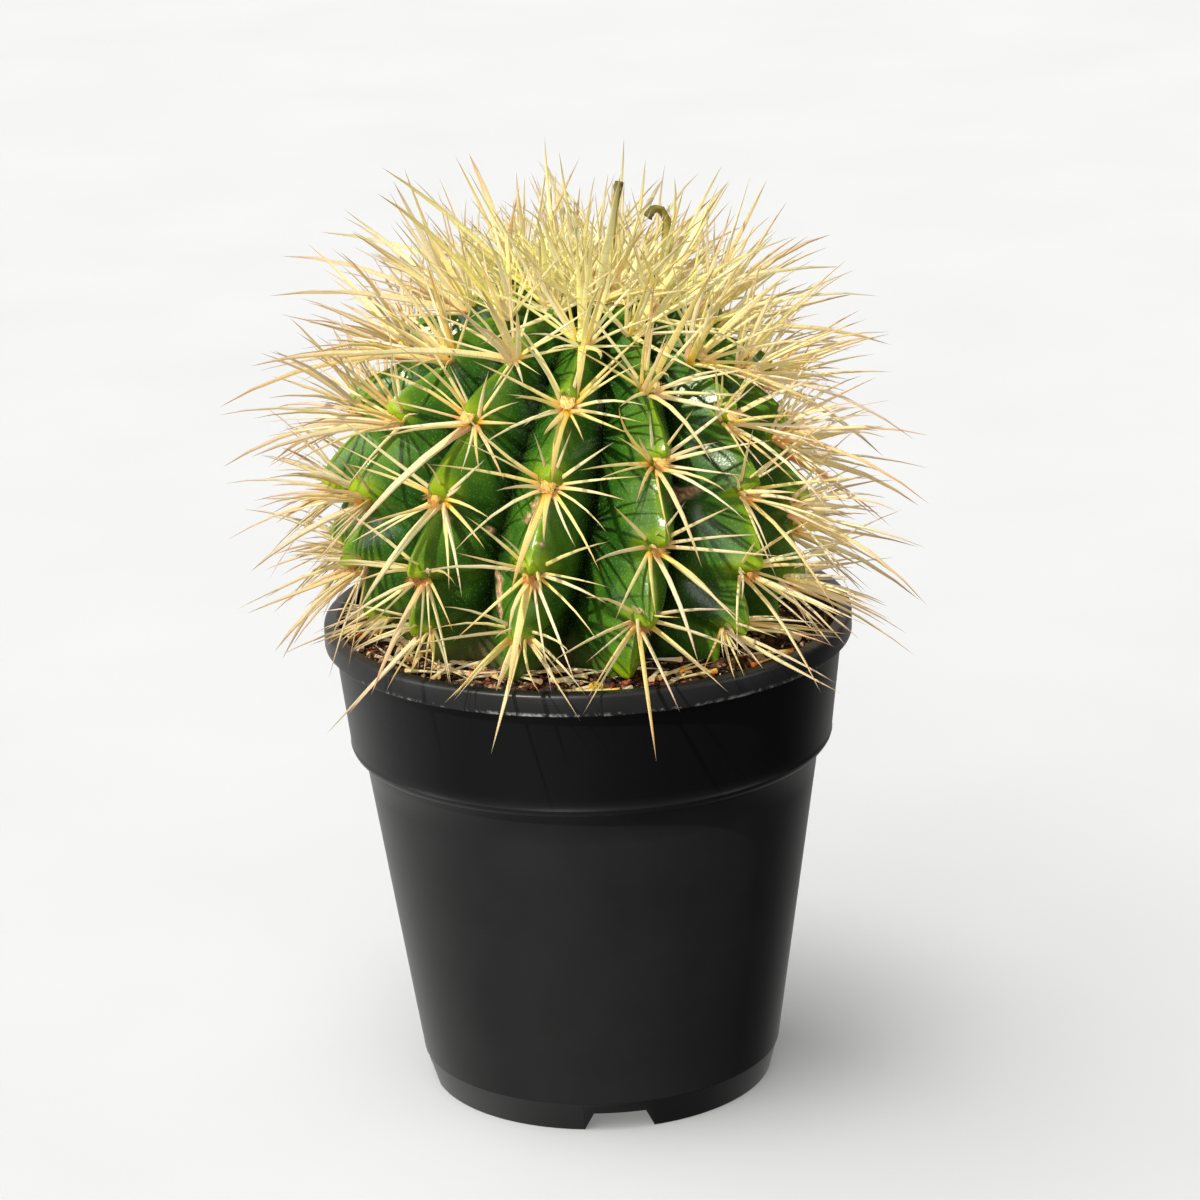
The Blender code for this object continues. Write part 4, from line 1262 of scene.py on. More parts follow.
# %% Extrude the template
ROOT_SINK = 2.4 * MM
ROOT_SPREAD = 1.4 * MM
ROOT_BULB = 0.3
ROOT_BULB_LENGTH = 1.5 * MM
YOUNG_LATITUDES = (35.0, 75.0)
SLENDERNESS = 0.76
LEADING_BREADTH = 0.97
TAPER = 1.9
LEADING_TAPER = 3.2
BENDS = (0.025, 0.045, 0.065, 0.095)
LEADING_BEND = 0.015
SIDE_DROOP = 0.035
BROAD_WIDTH = 0.8 * MM
BROAD_FLATNESS = 0.62
USUAL_FLATNESS = 0.8
TEMPLATE_SIDES = 6
TEMPLATE_STAGES = (0.05, 0.14, 0.34, 0.58, 0.82)

# By how much a fine spine may stop short of the plant's reach: at most, and as a rule
YOUNG_CUTS = (45 * MM, 45 * MM * 0.75)
USUAL_CUTS = (22 * MM, 22 * MM * 0.55)


def raise_face(bm, face, keep):
    """Extrudes a face, and returns the new one on top."""
    raised = bmesh.ops.extrude_face_region(bm, geom=[face], use_keep_orig=keep)
    return next(item for item in raised["geom"] if isinstance(item, bmesh.types.BMFace))


def spine_template():
    """A straight spine of unit length and unit half width, which stands on the origin."""
    bm = bmesh.new()
    bmesh.ops.create_circle(bm, cap_ends=True, segments=TEMPLATE_SIDES, radius=1.0)
    bm.faces.ensure_lookup_table()
    tip = bm.faces[0]
    height = 0.0
    for stage in (*TEMPLATE_STAGES, 1.0):
        tip = raise_face(bm, tip, height == 0.0)
        bmesh.ops.translate(bm, vec=(0, 0, stage - height), verts=tip.verts)
        height = stage
    bmesh.ops.pointmerge(bm, verts=tip.verts, merge_co=(0, 0, 1))
    bmesh.ops.recalc_face_normals(bm, faces=bm.faces)
    return mesh_of(bm, "spine_template")


TEMPLATE = spine_template()
print("Template:", len(TEMPLATE.polygons), "faces")


# %% Bend copies of it
SPINE_MASKS = ("along", "span", "tint", "broad", "tan", "dullness_and_painted_side_light")
SIDEWAYS = (-0.75, -0.2)
SUNWARD = (-0.6, -0.9)
LEEWARD = (0.6, 0.9)
BANDED_WIDTHS = (0.55 * MM, 0.72 * MM)
ROUND_ROOT = 0.14
TAPER_ROUNDING = 0.95
TIP_BREADTH = 0.02


def taper(share, length, power):
    """The half width along a spine, as a share of its main half width."""
    bulb = ROOT_BULB * math.exp(-((share * length / ROOT_BULB_LENGTH) ** 2))
    return (1 + bulb) * max(0.0, 1 - share ** power) ** TAPER_ROUNDING + TIP_BREADTH


def add_spine(bm, root, tip, normal, half_width, bow, flatness, marks, power=TAPER):
    """Adds a spine from root to tip, bowed off the straight line between them."""
    bm.from_mesh(TEMPLATE)
    bm.verts.ensure_lookup_table()
    length = (tip - root).length
    way = (tip - root) / length
    side = way.cross(normal)
    side = side.normalized() if side.length > 1e-3 else way.orthogonal().normalized()
    thin = side.cross(way)
    broad = smoothstep(*BANDED_WIDTHS, half_width)
    tint, tan, dullness_and_painted_side_light = marks
    layers = [bm.verts.layers.float[name] for name in SPINE_MASKS]
    for vert in bm.verts[-len(TEMPLATE.vertices):]:
        share = vert.co.z
        middle = root + way * (length * share) + bow * (length * 4 * share * (1 - share))
        width = half_width * taper(share, length, power)
        flat = 1 - (1 - flatness) * smoothstep(0.0, ROUND_ROOT, share)
        offset = side * (vert.co.x * width) + thin * (vert.co.y * width * flat)
        for layer, value in zip(layers, (share, share * length / MM, tint, broad, tan, dullness_and_painted_side_light)):
            vert[layer] = value
        vert.co = middle + offset


def grow_areole(bm, place, spines, rng, main):
    """Grows the spines of one areole into a bmesh, and returns how many there was room for."""
    point = place["point"]
    normal = TURN @ place["normal"]
    youth = smoothstep(*YOUNG_LATITUDES, place["latitude"])
    tan = smoothstep(*SIDEWAYS, normal.y) * (1 - youth)
    # Painted side light: spines on the sun's side get painted shade, those on the far side painted
    # light.
    dullness_and_painted_side_light = smoothstep(*SUNWARD, normal.x) - smoothstep(*LEEWARD, normal.x)
    most_cut, usual_cut = YOUNG_CUTS if place["young"] else USUAL_CUTS
    grown = 0
    for clock, lift, length, half_width in spines:
        direction = TURN @ spine_direction(place["normal"], clock, lift)
        spread = TURN @ spine_direction(place["normal"], clock, 0) * ROOT_SPREAD
        root = point + spread - normal * ROOT_SINK
        short = 0.0 if main else rng.triangular(0.3 * MM, most_cut, usual_cut)
        direction, length = keep_clear(point, direction, length, short)
        tip = point + direction * length
        if crosses_flower(point, tip, FLOWER_ROOM if main else FINE_ROOM):
            continue
        leading = half_width in (LEADING_WIDTH, SLIM_LEADING_WIDTH)
        bend = LEADING_BEND if leading else rng.choice(BENDS)
        aside = Vector((rng.uniform(-1, 1), rng.uniform(-1, 1), rng.uniform(-0.2, 1.6)))
        bow = aside.normalized() * bend * rng.uniform(0.3, 1.0)
        if leading:
            bow.z += (LEADING_ARCH if half_width == LEADING_WIDTH else SLIM_ARCH) / 4
        bow.z += SIDE_DROOP * tan
        flatness = BROAD_FLATNESS if half_width > BROAD_WIDTH else USUAL_FLATNESS
        marks = (0.5 * rng.random() + 0.5 * youth, tan, dullness_and_painted_side_light)
        width = half_width * (LEADING_BREADTH if leading else SLENDERNESS)
        power = LEADING_TAPER if leading else TAPER
        add_spine(bm, root, tip, normal, width, bow, flatness, marks, power)
        grown += 1
    return grown


# %% [markdown]
# ### Spine horn
# The spines are hard horn, pale straw to golden yellow. They are orange where they leave the
# areole, tan or pinkish grey at their dry tips, and the broad ones carry fine rings across.
# Light goes right through such thin horn and makes the brush at the crown glow. A slight
# emission in the horn's own colour stands for the part that subsurface scattering misses. The
# ramp runs along the spine, and the tint blends from the gold of old spines to young lemon.
# Spines that stand out sideways have weathered to tan. Those on the side of the sun get painted
# shade and those on the far side painted light, which evens out the sun, and the same mask
# dulls the fallen spines. White noise, fed with the tint, gives each spine its own lightness,
# hue and strength of colour, and a few are clearly redder than the rest.

# %% Mix the horn
HORN_GLOW = 0.2
YOUNG_GLOW = 0.34
TAN_SHIFT = -0.016


def spine_horn():
    horn, place = new_material("spine_horn")
    along, span, tint, broad, tan, dullness_and_painted_side_light = (
        add_node(horn, "Attribute", attribute_name=name).outputs["Fac"] for name in SPINE_MASKS
    )
    old = add_node(
        horn, "ValToRGB", (along,),
        stops=((0.0, "#c6843a"), (0.07, "#d49c4c"), (0.18, "#d6bd78"), (0.5, "#d1c08a"),
               (0.8, "#c2a474"), (0.93, "#9e7b54"), (1.0, "#7a5840")),
    )
    young = add_node(
        horn, "ValToRGB", (along,),
        stops=((0.0, "#d6b860"), (0.1, "#d8cf80"), (0.45, "#d0c788"), (0.75, "#aea368"),
               (0.92, "#8f7e4e"), (1.0, "#7a6842")),
    )
    youth = add_node(horn, "MapRange", (tint, 0.15, 0.8))
    ripened = add_node(horn, "Mix", (youth, old, young), data_type="RGBA")

    second_seed = add_node(horn, "Math", (tint, 37.0), operation="MULTIPLY")
    third_seed = add_node(horn, "Math", (tint, 91.0), operation="MULTIPLY")
    first, second, third = (
        add_node(horn, "TexWhiteNoise", (seed,), noise_dimensions="1D")
        for seed in (tint, second_seed, third_seed)
    )
    lightness = add_node(horn, "MapRange", (second, 0.0, 1.0, 0.86, 1.06))
    # Dullness, with painted shade on the sun's side and painted light on the far side.
    dulling_and_side_light = add_node(horn, "MapRange", (dullness_and_painted_side_light, -1.0, 1.0, 1.15, 0.82))
    value = add_node(horn, "Math", (lightness, dulling_and_side_light), operation="MULTIPLY")
    rare = add_node(horn, "Math", (first, 5.0), operation="POWER")
    warmth = add_node(horn, "MapRange", (rare, 0.0, 1.0, 0.509, 0.468))
    hue = add_node(horn, "Math", (tan, TAN_SHIFT, warmth), operation="MULTIPLY_ADD")
    saturation = add_node(horn, "MapRange", (third, 0.0, 1.0, 0.68, 1.18))
    lively = add_node(
        horn, "HueSaturation", {"Color": ripened, "Value": value, "Hue": hue, "Saturation": saturation},
    )

    ring_place = add_node(horn, "Math", (span, second_seed), operation="ADD")
    rings = add_node(horn, "TexNoise", (ring_place, 1.9, 2.0), noise_dimensions="1D")
    ring_share = add_node(horn, "MapRange", (rings, 0.5, 0.72, 0.0, 0.4))
    banding = add_node(horn, "Math", (ring_share, broad), operation="MULTIPLY")
    colour = add_node(horn, "Mix", (banding, lively, "#b4964e"), data_type="RGBA")
    fibre = add_node(horn, "TexNoise", (place, per_mm(0.5), 2.0))
    gloss = add_node(horn, "MapRange", (fibre, 0.0, 1.0, 0.3, 0.55))
    relief = add_node(horn, "Bump", {"Height": rings, "Strength": 0.25, "Distance": 0.15 * MM})
    glow = add_node(horn, "MapRange", (youth, 0.0, 1.0, HORN_GLOW, YOUNG_GLOW))
    return dress(horn, {
        "Base Color": colour, "Roughness": gloss, "Normal": relief, "IOR": 1.54,
        "Emission Color": colour, "Emission Strength": glow,
        "Subsurface Weight": 0.55, "Subsurface Radius": (1.0, 0.85, 0.5), "Subsurface Scale": 1.2 * MM,
    })


# %% Grow the spines
def grow(kind, wanted):
    """All spines of one kind, from the areoles that are wanted, as one bmesh."""
    bm = masked_bmesh(*SPINE_MASKS)
    count = 0
    for number, place in enumerate(AREOLES):
        if wanted(place):
            tuft = masked_bmesh(*SPINE_MASKS)
            rng = random.Random(f"{kind} {number}")
            count += grow_areole(tuft, place, place[kind], rng, kind == "main")
            pour(tuft, bm)
    print(f"{kind}: {count} spines")
    return bm


horn = spine_horn()
add_piece("main_spines", grow("main", lambda place: True), horn, ["cactus"], sharp_angle=60)
add_piece("fine_spines", grow("fine", lambda place: not place["young"]), horn, sharp_angle=60)
add_piece("crown_spines", grow("fine", lambda place: place["young"]), horn, sharp_angle=60)


# %% [markdown]
# ## Wool
# Felt cushions each areole, cream where it is new and rusty where it is old. From a step away
# only its lumpy outline and a haze of hairs show, so each pad is a small dome pushed about by
# noise, with a few dozen three-sided hairs. At the growing point the pads run together into
# one woolly cap.

# %% Card the wool
PAD_RADIUS = 1.6 * MM
PAD_HEIGHT = 1.0 * MM
PAD_HAIRS = 46
PAD_LENGTHENING = 1.25
HAIR_LENGTH = 1.7 * MM
HAIR_RADIUS = 0.07 * MM
HAIR_TIP = 0.2 * HAIR_RADIUS
CAP_RADIUS = 10.0 * MM
CAP_HEIGHT = 3.0 * MM
CAP_HAIRS = 1200


def surface_frame(point, normal):
    """A frame on the skin whose +Z is the normal and whose +Y runs up the rib."""
    side = level_side(normal, TURN @ Vector((0, 0, 1)))
    rotation = Matrix((side, normal.cross(side), normal)).transposed()
    return Matrix.Translation(point) @ rotation.to_4x4()


def add_hair(bm, place, foot, lean, length):
    """A three-sided hair on a pad."""
    hair = bmesh.ops.create_cone(
        bm, cap_ends=True, segments=3, radius1=HAIR_RADIUS, radius2=HAIR_TIP, depth=length,
    )["verts"]
    up = (Vector((0, 0, 1)) + lean).normalized()
    stand = Matrix.Translation(foot) @ up.to_track_quat("Z", "Y").to_matrix().to_4x4()
    stand = stand @ Matrix.Translation((0, 0, length * 0.4))
    bmesh.ops.transform(bm, matrix=place @ stand, verts=hair)


def add_pad(bm, place, radius, height, hairs, detail, rng):
    """A lumpy dome of felt with its hairs."""
    dome = bmesh.ops.create_icosphere(bm, subdivisions=detail, radius=1.0)["verts"]
    offset = Vector((rng.uniform(0, 50), rng.uniform(0, 50), rng.uniform(0, 50)))
    for vert in dome:
        lump = 1 + 0.28 * noise.noise(vert.co * 2.4 + offset) + 0.14 * noise.noise(vert.co * 6 + offset)
        x, y, z = vert.co
        vert.co = Vector((x * radius, y * radius * PAD_LENGTHENING, z * height)) * lump
    bmesh.ops.transform(bm, matrix=place, verts=dome)
    for _ in range(hairs):
        turn = rng.uniform(0, math.tau)
        out = math.sqrt(rng.random())
        flat = Vector((math.cos(turn), PAD_LENGTHENING * math.sin(turn), 0)) * (out * radius)
        foot = flat + Vector((0, 0, height * math.sqrt(1 - 0.9 * out * out)))
        lean = Vector((math.cos(turn), math.sin(turn), 0)) * (out * 1.3)
        lean += Vector((rng.uniform(-0.5, 0.5), rng.uniform(-0.5, 0.5), 0))
        add_hair(bm, place, foot, lean, HAIR_LENGTH * rng.uniform(0.5, 1.1))


def card_wool():
    """A pad on every areole, and the cap on top of the plant."""
    bm = masked_bmesh("age")
    for number, place in enumerate(AREOLES):
        normal = TURN @ place["normal"]
        size = 0.85 + 0.15 * smoothstep(-30, 30, place["latitude"])
        spot = surface_frame(place["point"] + normal * 0.1 * MM, normal)
        pad = masked_bmesh("age")
        rng = random.Random(3000 + number)
        add_pad(pad, spot, PAD_RADIUS * size, PAD_HEIGHT * size, PAD_HAIRS, 3, rng)
        for vert in pad.verts:
            vert[pad.verts.layers.float["age"]] = smoothstep(70, -30, place["latitude"])
        pour(pad, bm)
    top = surface_frame(PLANT @ body_point(90, 0), TURN @ Vector((0, 0, 1)))
    cap = masked_bmesh("age")
    add_pad(cap, top, CAP_RADIUS, CAP_HEIGHT, CAP_HAIRS, 4, random.Random(77))
    pour(cap, bm)
    return bm


# %% [markdown]
# ### Areole felt
# Felt scatters light among its hairs: no highlight, a soft sheen, and colour that drifts from
# cream to rust in flecks of about a millimetre.

# %% Mix the felt
def areole_felt():
    felt, place = new_material("areole_felt")
    age = add_node(felt, "Attribute", attribute_name="age").outputs["Fac"]
    flecks = add_node(felt, "TexNoise", (place, per_mm(1.1), 4.0))
    drift = add_node(felt, "Math", (flecks, age), operation="ADD")
    aged = add_node(felt, "MapRange", (drift, 0.45, 1.5))
    colour = add_node(
        felt, "ValToRGB", (aged,),
        stops=((0.0, "#e8cf8c"), (0.35, "#dfb766"), (0.7, "#cf9446"), (1.0, "#a06a36")),
    )
    relief = add_node(felt, "Bump", {"Height": flecks, "Strength": 0.6, "Distance": 0.5 * MM})
    return dress(felt, {
        "Base Color": colour, "Roughness": 0.95, "Normal": relief, "Specular IOR Level": 0.15,
        "Sheen Weight": 0.3, "Subsurface Weight": 0.3, "Subsurface Radius": (1.0, 0.7, 0.4),
        "Subsurface Scale": 0.8 * MM,
    })


add_piece("areole_wool", card_wool(), areole_felt(), sharp_angle=60)


# %% [markdown]
# ## The soil
# Potting mix fills the pot to just below the lip. It is turned like the pot, from a section
# that follows the inner wall with a little clearance, and its top is many fine rings whose
# points rise and fall with three sizes of noise: heaps, clods and crumbs.

# %% Turn the soil
CLEARANCE = 0.3 * MM
SOIL_GRAIN = 7.0 * MM
SOIL_SIDES = 240
SOIL_TOP_RINGS = 46
SOIL_INNER_RADIUS = 32.0 * MM
SOIL_RADIUS = LIP_INNER_RADIUS - CLEARANCE
LEVEL_EDGE = 4 * MM
CLOD_HEIGHT = 0.8 * MM
CLOD_SIZE = 2.6 * MM
CRUMB_HEIGHT = 0.4 * MM
CRUMB_SIZE = 1.2 * MM


def soil_height(x, y):
    """The height of the soil's top at a place."""
    place = Vector((x, y, SOIL_Z))
    inner = smoothstep(0, LEVEL_EDGE, SOIL_RADIUS - place.xy.length)
    clods = CLOD_HEIGHT * noise.noise(place / CLOD_SIZE) + CRUMB_HEIGHT * noise.noise(place / CRUMB_SIZE)
    return SOIL_Z + inner * (SOIL_RELIEF * noise.noise(place / SOIL_GRAIN) + clods)


def turn_soil():
    """The block of soil, turned on the axis, with its uneven top."""
    section = [(0.0, FLOOR_Z + CLEARANCE)] + inner_section(CLEARANCE)[::-1]
    step = (SOIL_RADIUS - SOIL_INNER_RADIUS) / SOIL_TOP_RINGS
    section += [(SOIL_RADIUS - step * ring, SOIL_Z) for ring in range(SOIL_TOP_RINGS + 1)]
    section += [(SOIL_INNER_RADIUS / 2, SOIL_Z), (0.0, SOIL_Z)]
    bm = lathe(section, SOIL_SIDES)
    for vert in bm.verts:
        if vert.co.z > SOIL_Z - 0.01 * MM:
            vert.co.z = soil_height(vert.co.x, vert.co.y)
    return bm


# %% [markdown]
# ### Potting mix
# Wet humus is nearly black, and dry fibre is brown. Both show in patches a few millimetres
# wide, with a rough bump of most of a millimetre.

# %% Mix the soil's material
def potting_mix():
    mix, place = new_material("potting_mix")
    patches = add_node(mix, "TexNoise", (place, per_mm(3.2), 6.0, 0.65))
    humus = add_node(
        mix, "ValToRGB", (patches,),
        stops=((0.36, "#1c1008"), (0.5, "#402816"), (0.6, "#5c3c24"), (0.72, "#80603f")),
    )
    relief = add_node(mix, "Bump", {"Height": patches, "Strength": 0.9, "Distance": 0.8 * MM})
    return dress(mix, {
        "Base Color": humus, "Roughness": 0.92, "Normal": relief, "Specular IOR Level": 0.2,
    })


add_piece("potting_soil", turn_soil(), potting_mix(), ["soil"], sharp_angle=60)


# %% [markdown]
# ### Grit
# Sand, bark crumbs and perlite lie on top. Each grain is a rough ball of twenty faces, or
# eighty if it is large, squashed and turned at random, and half sunk. A tint of its own picks
# its colour, and white perlite is rare. Grains are only strewn where the soil is open to view:
# a place inside the plant's body is drawn again.

# %% Strew the grit
GRAINS = 2600
LARGE_SHARE = 0.09
GRAIN_RADII = (0.28 * MM, 0.72 * MM)
LARGE_RADII = (0.8 * MM, 1.5 * MM)
GRAIN_ROUGHNESS = 0.32
GRIT_RADII = (33.0 * MM, 55.7 * MM)
BODY_OVERLAP = 2.5 * MM


def in_body(spot):
    """Whether a place at the height of the soil is inside the ribbed body."""
    place = UNPLANT @ spot
    latitude = math.degrees(math.asin(max(-1.0, place.z / BARREL_DROP)))
    longitude = math.degrees(math.atan2(place.x, -place.y)) - RIB_TWIST * math.radians(latitude)
    return place.xy.length < body_point(latitude, longitude).xy.length - BODY_OVERLAP


def open_spot(rng, turns=(0, 360), edge=1.0 * MM):
    """A random place on the soil, outside the plant, within a range of turns from +X."""
    while True:
        turn = math.radians(rng.uniform(*turns))
        radius = math.sqrt(rng.uniform(GRIT_RADII[0] ** 2, (GRIT_RADII[1] - edge) ** 2))
        x, y = radius * math.cos(turn), radius * math.sin(turn)
        spot = Vector((x, y, soil_height(x, y)))
        if not in_body(spot):
            return spot


def ball_template(subdivisions):
    bm = bmesh.new()
    bmesh.ops.create_icosphere(bm, subdivisions=subdivisions, radius=1.0)
    return mesh_of(bm, "grain")


def add_lump(bm, template, place, size, seed, tint):
    """Copies a template into a bmesh as a rough lump."""
    bm.from_mesh(template)
    bm.verts.ensure_lookup_table()
    layer = bm.verts.layers.float["tint"]
    offset = Vector((seed, 2 * seed, 3 * seed))
    for vert in bm.verts[-len(template.vertices):]:
        rough = 1 + GRAIN_ROUGHNESS * noise.noise(vert.co * 1.7 + offset) * 2
        vert.co = place @ (vert.co * size * rough)
        vert[layer] = tint


def tumbled(spot, spin, tilt, tilt_axis, squash):
    """A place on the soil, spun about the vertical, tilted, and squashed along its axes."""
    turned = Matrix.Rotation(spin, 4, "Z") @ Matrix.Rotation(tilt, 4, tilt_axis)
    return Matrix.Translation(spot) @ turned @ Matrix.Diagonal((*squash, 1))


def strew_grit():
    """Grains of two sorts of size, which lie half sunk in the soil."""
    rng = random.Random(5)
    templates = (ball_template(1), ball_template(2))
    bm = masked_bmesh("tint")
    for _ in range(GRAINS):
        large = rng.random() < LARGE_SHARE
        radius = rng.uniform(*(LARGE_RADII if large else GRAIN_RADII))
        spot = open_spot(rng, edge=radius)
        spot.z += radius * rng.uniform(-0.2, 0.5)
        spin, tilt = rng.uniform(0, math.tau), rng.uniform(-0.6, 0.6)
        place = tumbled(spot, spin, tilt, "X", (1, rng.uniform(0.6, 0.95), rng.uniform(0.5, 0.85)))
        add_lump(bm, templates[large], place, radius, rng.uniform(0, 90), rng.random())
    for template in templates:
        bpy.data.meshes.remove(template)
    return bm


# %% [markdown]
# ### Sand, bark and perlite
# Each sort is a step of one ramp: black and brown humus, sand in four paler tones, a sliver of
# white perlite and a little rusty bark. The ramp doesn't blend, so a grain has one sort's
# colour, dappled by flecks of half a millimetre.

# %% Colour the grains
def grit_material():
    grit, place = new_material("sand_and_bark_grit")
    tint = add_node(grit, "Attribute", attribute_name="tint").outputs["Fac"]
    sorts = add_node(
        grit, "ValToRGB", (tint,),
        stops=((0.0, "#20140c"), (0.3, "#3d2819"), (0.46, "#6d4d33"), (0.62, "#97724e"),
               (0.76, "#b89671"), (0.88, "#cdb595"), (0.925, "#e2dacb"), (0.955, "#8d4826"),
               (1.0, "#7a3a1e")),
    )
    sorts.color_ramp.interpolation = "CONSTANT"
    flecks = add_node(grit, "TexNoise", (place, per_mm(0.6), 3.0))
    dapple = add_node(grit, "MapRange", (flecks, 0.3, 0.7, 0.62, 1.15))
    colour = add_node(grit, "HueSaturation", {"Color": sorts, "Value": dapple})
    relief = add_node(grit, "Bump", {"Height": flecks, "Strength": 0.7, "Distance": 0.3 * MM})
    return dress(grit, {"Base Color": colour, "Roughness": 0.85, "Normal": relief})


add_piece("soil_grit", strew_grit(), grit_material())


# %% [markdown]
# ### Litter
# Spines drop off the old areoles and lie about on the soil, most of them at the left where the
# ribs overhang it. They are more copies of the one spine, laid down flat. A place is drawn
# again until both ends lie on open soil.

# %% Drop the litter
# How many fallen spines there are, and the turns from +X between which they lie
LITTER = ((46, (180, 262)), (16, (262, 305)), (26, (305, 540)))
LITTER_LENGTHS = (7.0 * MM, 17.0 * MM)
LITTER_WIDTHS = (0.35 * MM, 0.62 * MM)
LITTER_FLATNESS = 0.6
LITTER_TAN = 0.9
LITTER_DULLNESS = 0.7


def fallen_place(rng, turns):
    """Where a fallen spine starts and ends, with both ends on open soil."""
    while True:
        root = open_spot(rng, turns, 1.5 * MM)
        way = rng.uniform(0, math.tau)
        length = rng.uniform(*LITTER_LENGTHS)
        tip = root + Vector((math.cos(way), math.sin(way), 0)) * length
        if tip.xy.length < GRIT_RADII[1] - 1.0 * MM and not in_body(tip):
            return root, tip


def drop_spines():
    """Fallen spines, which lie on the soil at slight angles."""
    rng = random.Random(12)
    bm = masked_bmesh(*SPINE_MASKS)
    for count, turns in LITTER:
        for _ in range(count):
            root, tip = fallen_place(rng, turns)
            root.z += rng.uniform(0.5, 1.6) * MM
            tip.z = soil_height(tip.x, tip.y) + rng.uniform(0.4, 2.6) * MM
            bow = Vector((0, 0, rng.uniform(0, 0.03)))
            up = Vector((rng.uniform(-0.4, 0.4), rng.uniform(-0.4, 0.4), 1)).normalized()
            half_width = rng.uniform(*LITTER_WIDTHS)
            marks = (rng.uniform(0.0, 0.7), LITTER_TAN, LITTER_DULLNESS)
            add_spine(bm, root, tip, up, half_width, bow, LITTER_FLATNESS, marks)
    return bm


add_piece("fallen_spines", drop_spines(), horn, sharp_angle=60)


# %% [markdown]
# ### Bark chips
# Composted bark breaks into flat splinters with square edges. A cube whose sides are cut in
# three has enough points to be broken by the same noise as the grains, and squashing makes a
# chip of it. The bark is matt and red brown, and paler along layers of about a millimetre.

# %% Scatter the bark
BARK_CHIPS = ((14, (262, 292)), (14, (292, 622)))
CHIP_SIZE = (2.6 * MM, 1.3 * MM, 0.7 * MM)
CHIP_RISE = 0.4 * MM


def chip_template():
    """A cube whose sides are cut in three, to be broken into a chip."""
    bm = bmesh.new()
    bmesh.ops.create_cube(bm, size=1.0)
    bmesh.ops.subdivide_edges(bm, edges=bm.edges[:], cuts=2, use_grid_fill=True)
    return mesh_of(bm, "chip")


def scatter_bark():
    """Thin broken chips of bark, which stick out of the soil at random angles."""
    rng = random.Random(23)
    template = chip_template()
    bm = masked_bmesh("tint")
    for count, turns in BARK_CHIPS:
        for _ in range(count):
            spot = open_spot(rng, turns, 2.0 * MM)
            spot.z += CHIP_RISE
            place = tumbled(spot, rng.uniform(0, math.tau), rng.uniform(-0.7, 0.7), "Y", CHIP_SIZE)
            add_lump(bm, template, place, rng.uniform(0.55, 1.25), rng.uniform(0, 60), rng.random())
    bpy.data.meshes.remove(template)
    return bm


def bark_material():
    bark, place = new_material("composted_bark")
    layers = add_node(
        bark, "TexNoise", {"Vector": place, "Scale": per_mm(1.1), "Detail": 5.0, "Distortion": 0.6},
    )
    colour = add_node(
        bark, "ValToRGB", (layers,), stops=((0.32, "#3b1a0e"), (0.5, "#7c3a20"), (0.7, "#b0673d")),
    )
    relief = add_node(bark, "Bump", {"Height": layers, "Strength": 0.8, "Distance": 0.4 * MM})
    return dress(bark, {"Base Color": colour, "Roughness": 0.8, "Normal": relief})


add_piece("bark_chips", scatter_bark(), bark_material())


# %% [markdown]
# ### A scrap of petal
# One fallen petal has shrivelled to a yellow crumb, and a ball crumpled by noise is enough at
# this size. Some light passes through it, so it stays bright beside the dark bark.

# %% Drop the scrap of petal
PETAL_PLACE = Vector((1.2, -51.6)) * MM
PETAL_SIZE = (1.3 * MM, 0.8 * MM, 1.2 * MM)
PETAL_RISE = 0.8 * MM


def crumple_petal():
    """A small ball, flattened and crumpled."""
    bm = bmesh.new()
    bmesh.ops.create_icosphere(bm, subdivisions=3, radius=1.0)
    height = soil_height(*PETAL_PLACE) + PETAL_RISE
    for vert in bm.verts:
        size = Vector(PETAL_SIZE) * (1 + 0.45 * noise.noise(vert.co * 2.6))
        vert.co = Vector((vert.co.x * size.x, vert.co.y * size.y, vert.co.z * size.z))
        vert.co += Vector((PETAL_PLACE.x, PETAL_PLACE.y, height))
    return bm


def petal_material():
    petal, place = new_material("yellow_petal")
    veins = add_node(petal, "TexNoise", (place, per_mm(0.9), 3.0))
    colour = add_node(petal, "ValToRGB", (veins,), stops=((0.35, "#a97a10"), (0.65, "#e0bd1c")))
    return dress(petal, {
        "Base Color": colour, "Roughness": 0.6, "Subsurface Weight": 0.2,
        "Subsurface Radius": (0.8, 0.6, 0.1), "Subsurface Scale": 0.6 * MM,
    })


add_piece("fallen_petal", crumple_petal(), petal_material(), sharp_angle=60)


# %% [markdown]
# ## Dried flowers
# Two withered flowers are left among the spines. Each is a tube that a ring draws as it is
# extruded up the flower's path: narrow at the foot, pleated by noise, and turned in at the
# mouth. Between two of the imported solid's places the path and the girth are divided further.
# The papery petals have dried to olive straw, and darken in streaks towards the mouth.

# %% Wither the flowers
FLOWER_SIDES = 14
FLOWER_SUBSTAGES = 5
PLEATS = 0.22
PLEAT_TURNS = 3.2
MOUTH_RIM = (0.2 * MM, 0.9)
MOUTH_INSIDE = (-0.6 * MM, 0.62)


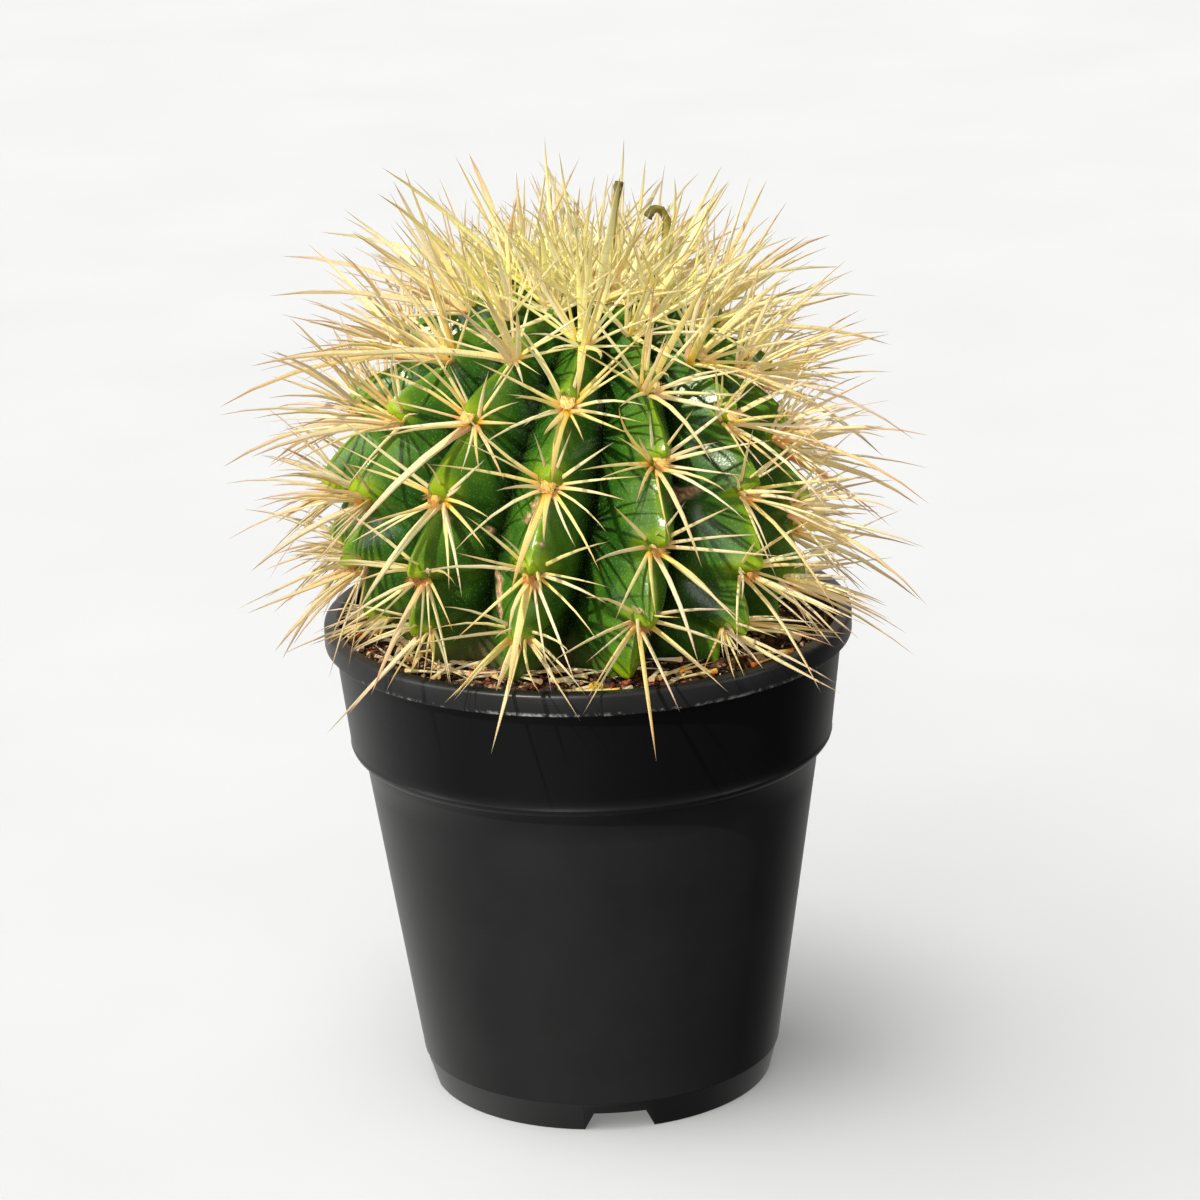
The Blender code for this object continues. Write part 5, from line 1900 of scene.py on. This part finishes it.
def wither(latitude, longitude, height, radius, curl):
    """A pleated tube that follows the path of a dried flower and turns in at its mouth."""
    frames = flower_frames(latitude, longitude, height, curl)
    rings = []
    for (before, girth), (after, next_girth) in zip(frames, frames[1:]):
        for stage in range(FLOWER_SUBSTAGES):
            share = stage / FLOWER_SUBSTAGES
            rings.append((before.lerp(after, share), girth + (next_girth - girth) * share))
    mouth_place, mouth_girth = frames[-1]
    rings.append(frames[-1])
    for rise, share in (MOUTH_RIM, MOUTH_INSIDE):
        rings.append((mouth_place @ Matrix.Translation((0, 0, rise)), share * mouth_girth))

    bm = masked_bmesh("rise")
    rise_mask = bm.verts.layers.float["rise"]
    bmesh.ops.create_circle(bm, cap_ends=True, segments=FLOWER_SIDES, radius=1.0)
    bm.faces.ensure_lookup_table()
    mouth = bm.faces[0]
    for number, (place, girth) in enumerate(rings):
        if number:
            mouth = raise_face(bm, mouth, number == 1)
        for index, vert in enumerate(mouth.verts):
            turn = math.tau * index / FLOWER_SIDES
            x, y = math.cos(turn), math.sin(turn)
            folded = noise.noise(Vector((PLEAT_TURNS * x, PLEAT_TURNS * y, 0.35 * number)))
            reach = radius * girth * (1 + PLEATS * 2 * folded)
            vert.co = place @ Vector((reach * x, reach * y, 0))
            vert[rise_mask] = number / len(rings)
    bmesh.ops.recalc_face_normals(bm, faces=bm.faces)
    return bm


def withered_petals():
    petals, place = new_material("withered_petals")
    rise = add_node(petals, "Attribute", attribute_name="rise").outputs["Fac"]
    streaks = add_node(petals, "TexNoise", (place, per_mm(1.4), 4.0))
    drift = add_node(petals, "Math", (streaks, 0.35, rise), operation="MULTIPLY_ADD")
    colour = add_node(
        petals, "ValToRGB", (drift,),
        stops=((0.1, "#b5a85c"), (0.6, "#958a3c"), (0.85, "#7b7028"), (1.0, "#5e521f")),
    )
    relief = add_node(petals, "Bump", {"Height": streaks, "Strength": 0.6, "Distance": 0.3 * MM})
    return dress(petals, {"Base Color": colour, "Roughness": 0.75, "Normal": relief})


petals = withered_petals()
for name, *shape in FLOWERS:
    shown_name = name.replace("dried", "withered")
    add_piece(shown_name, wither(*shape), petals, [name], sharp_angle=50)
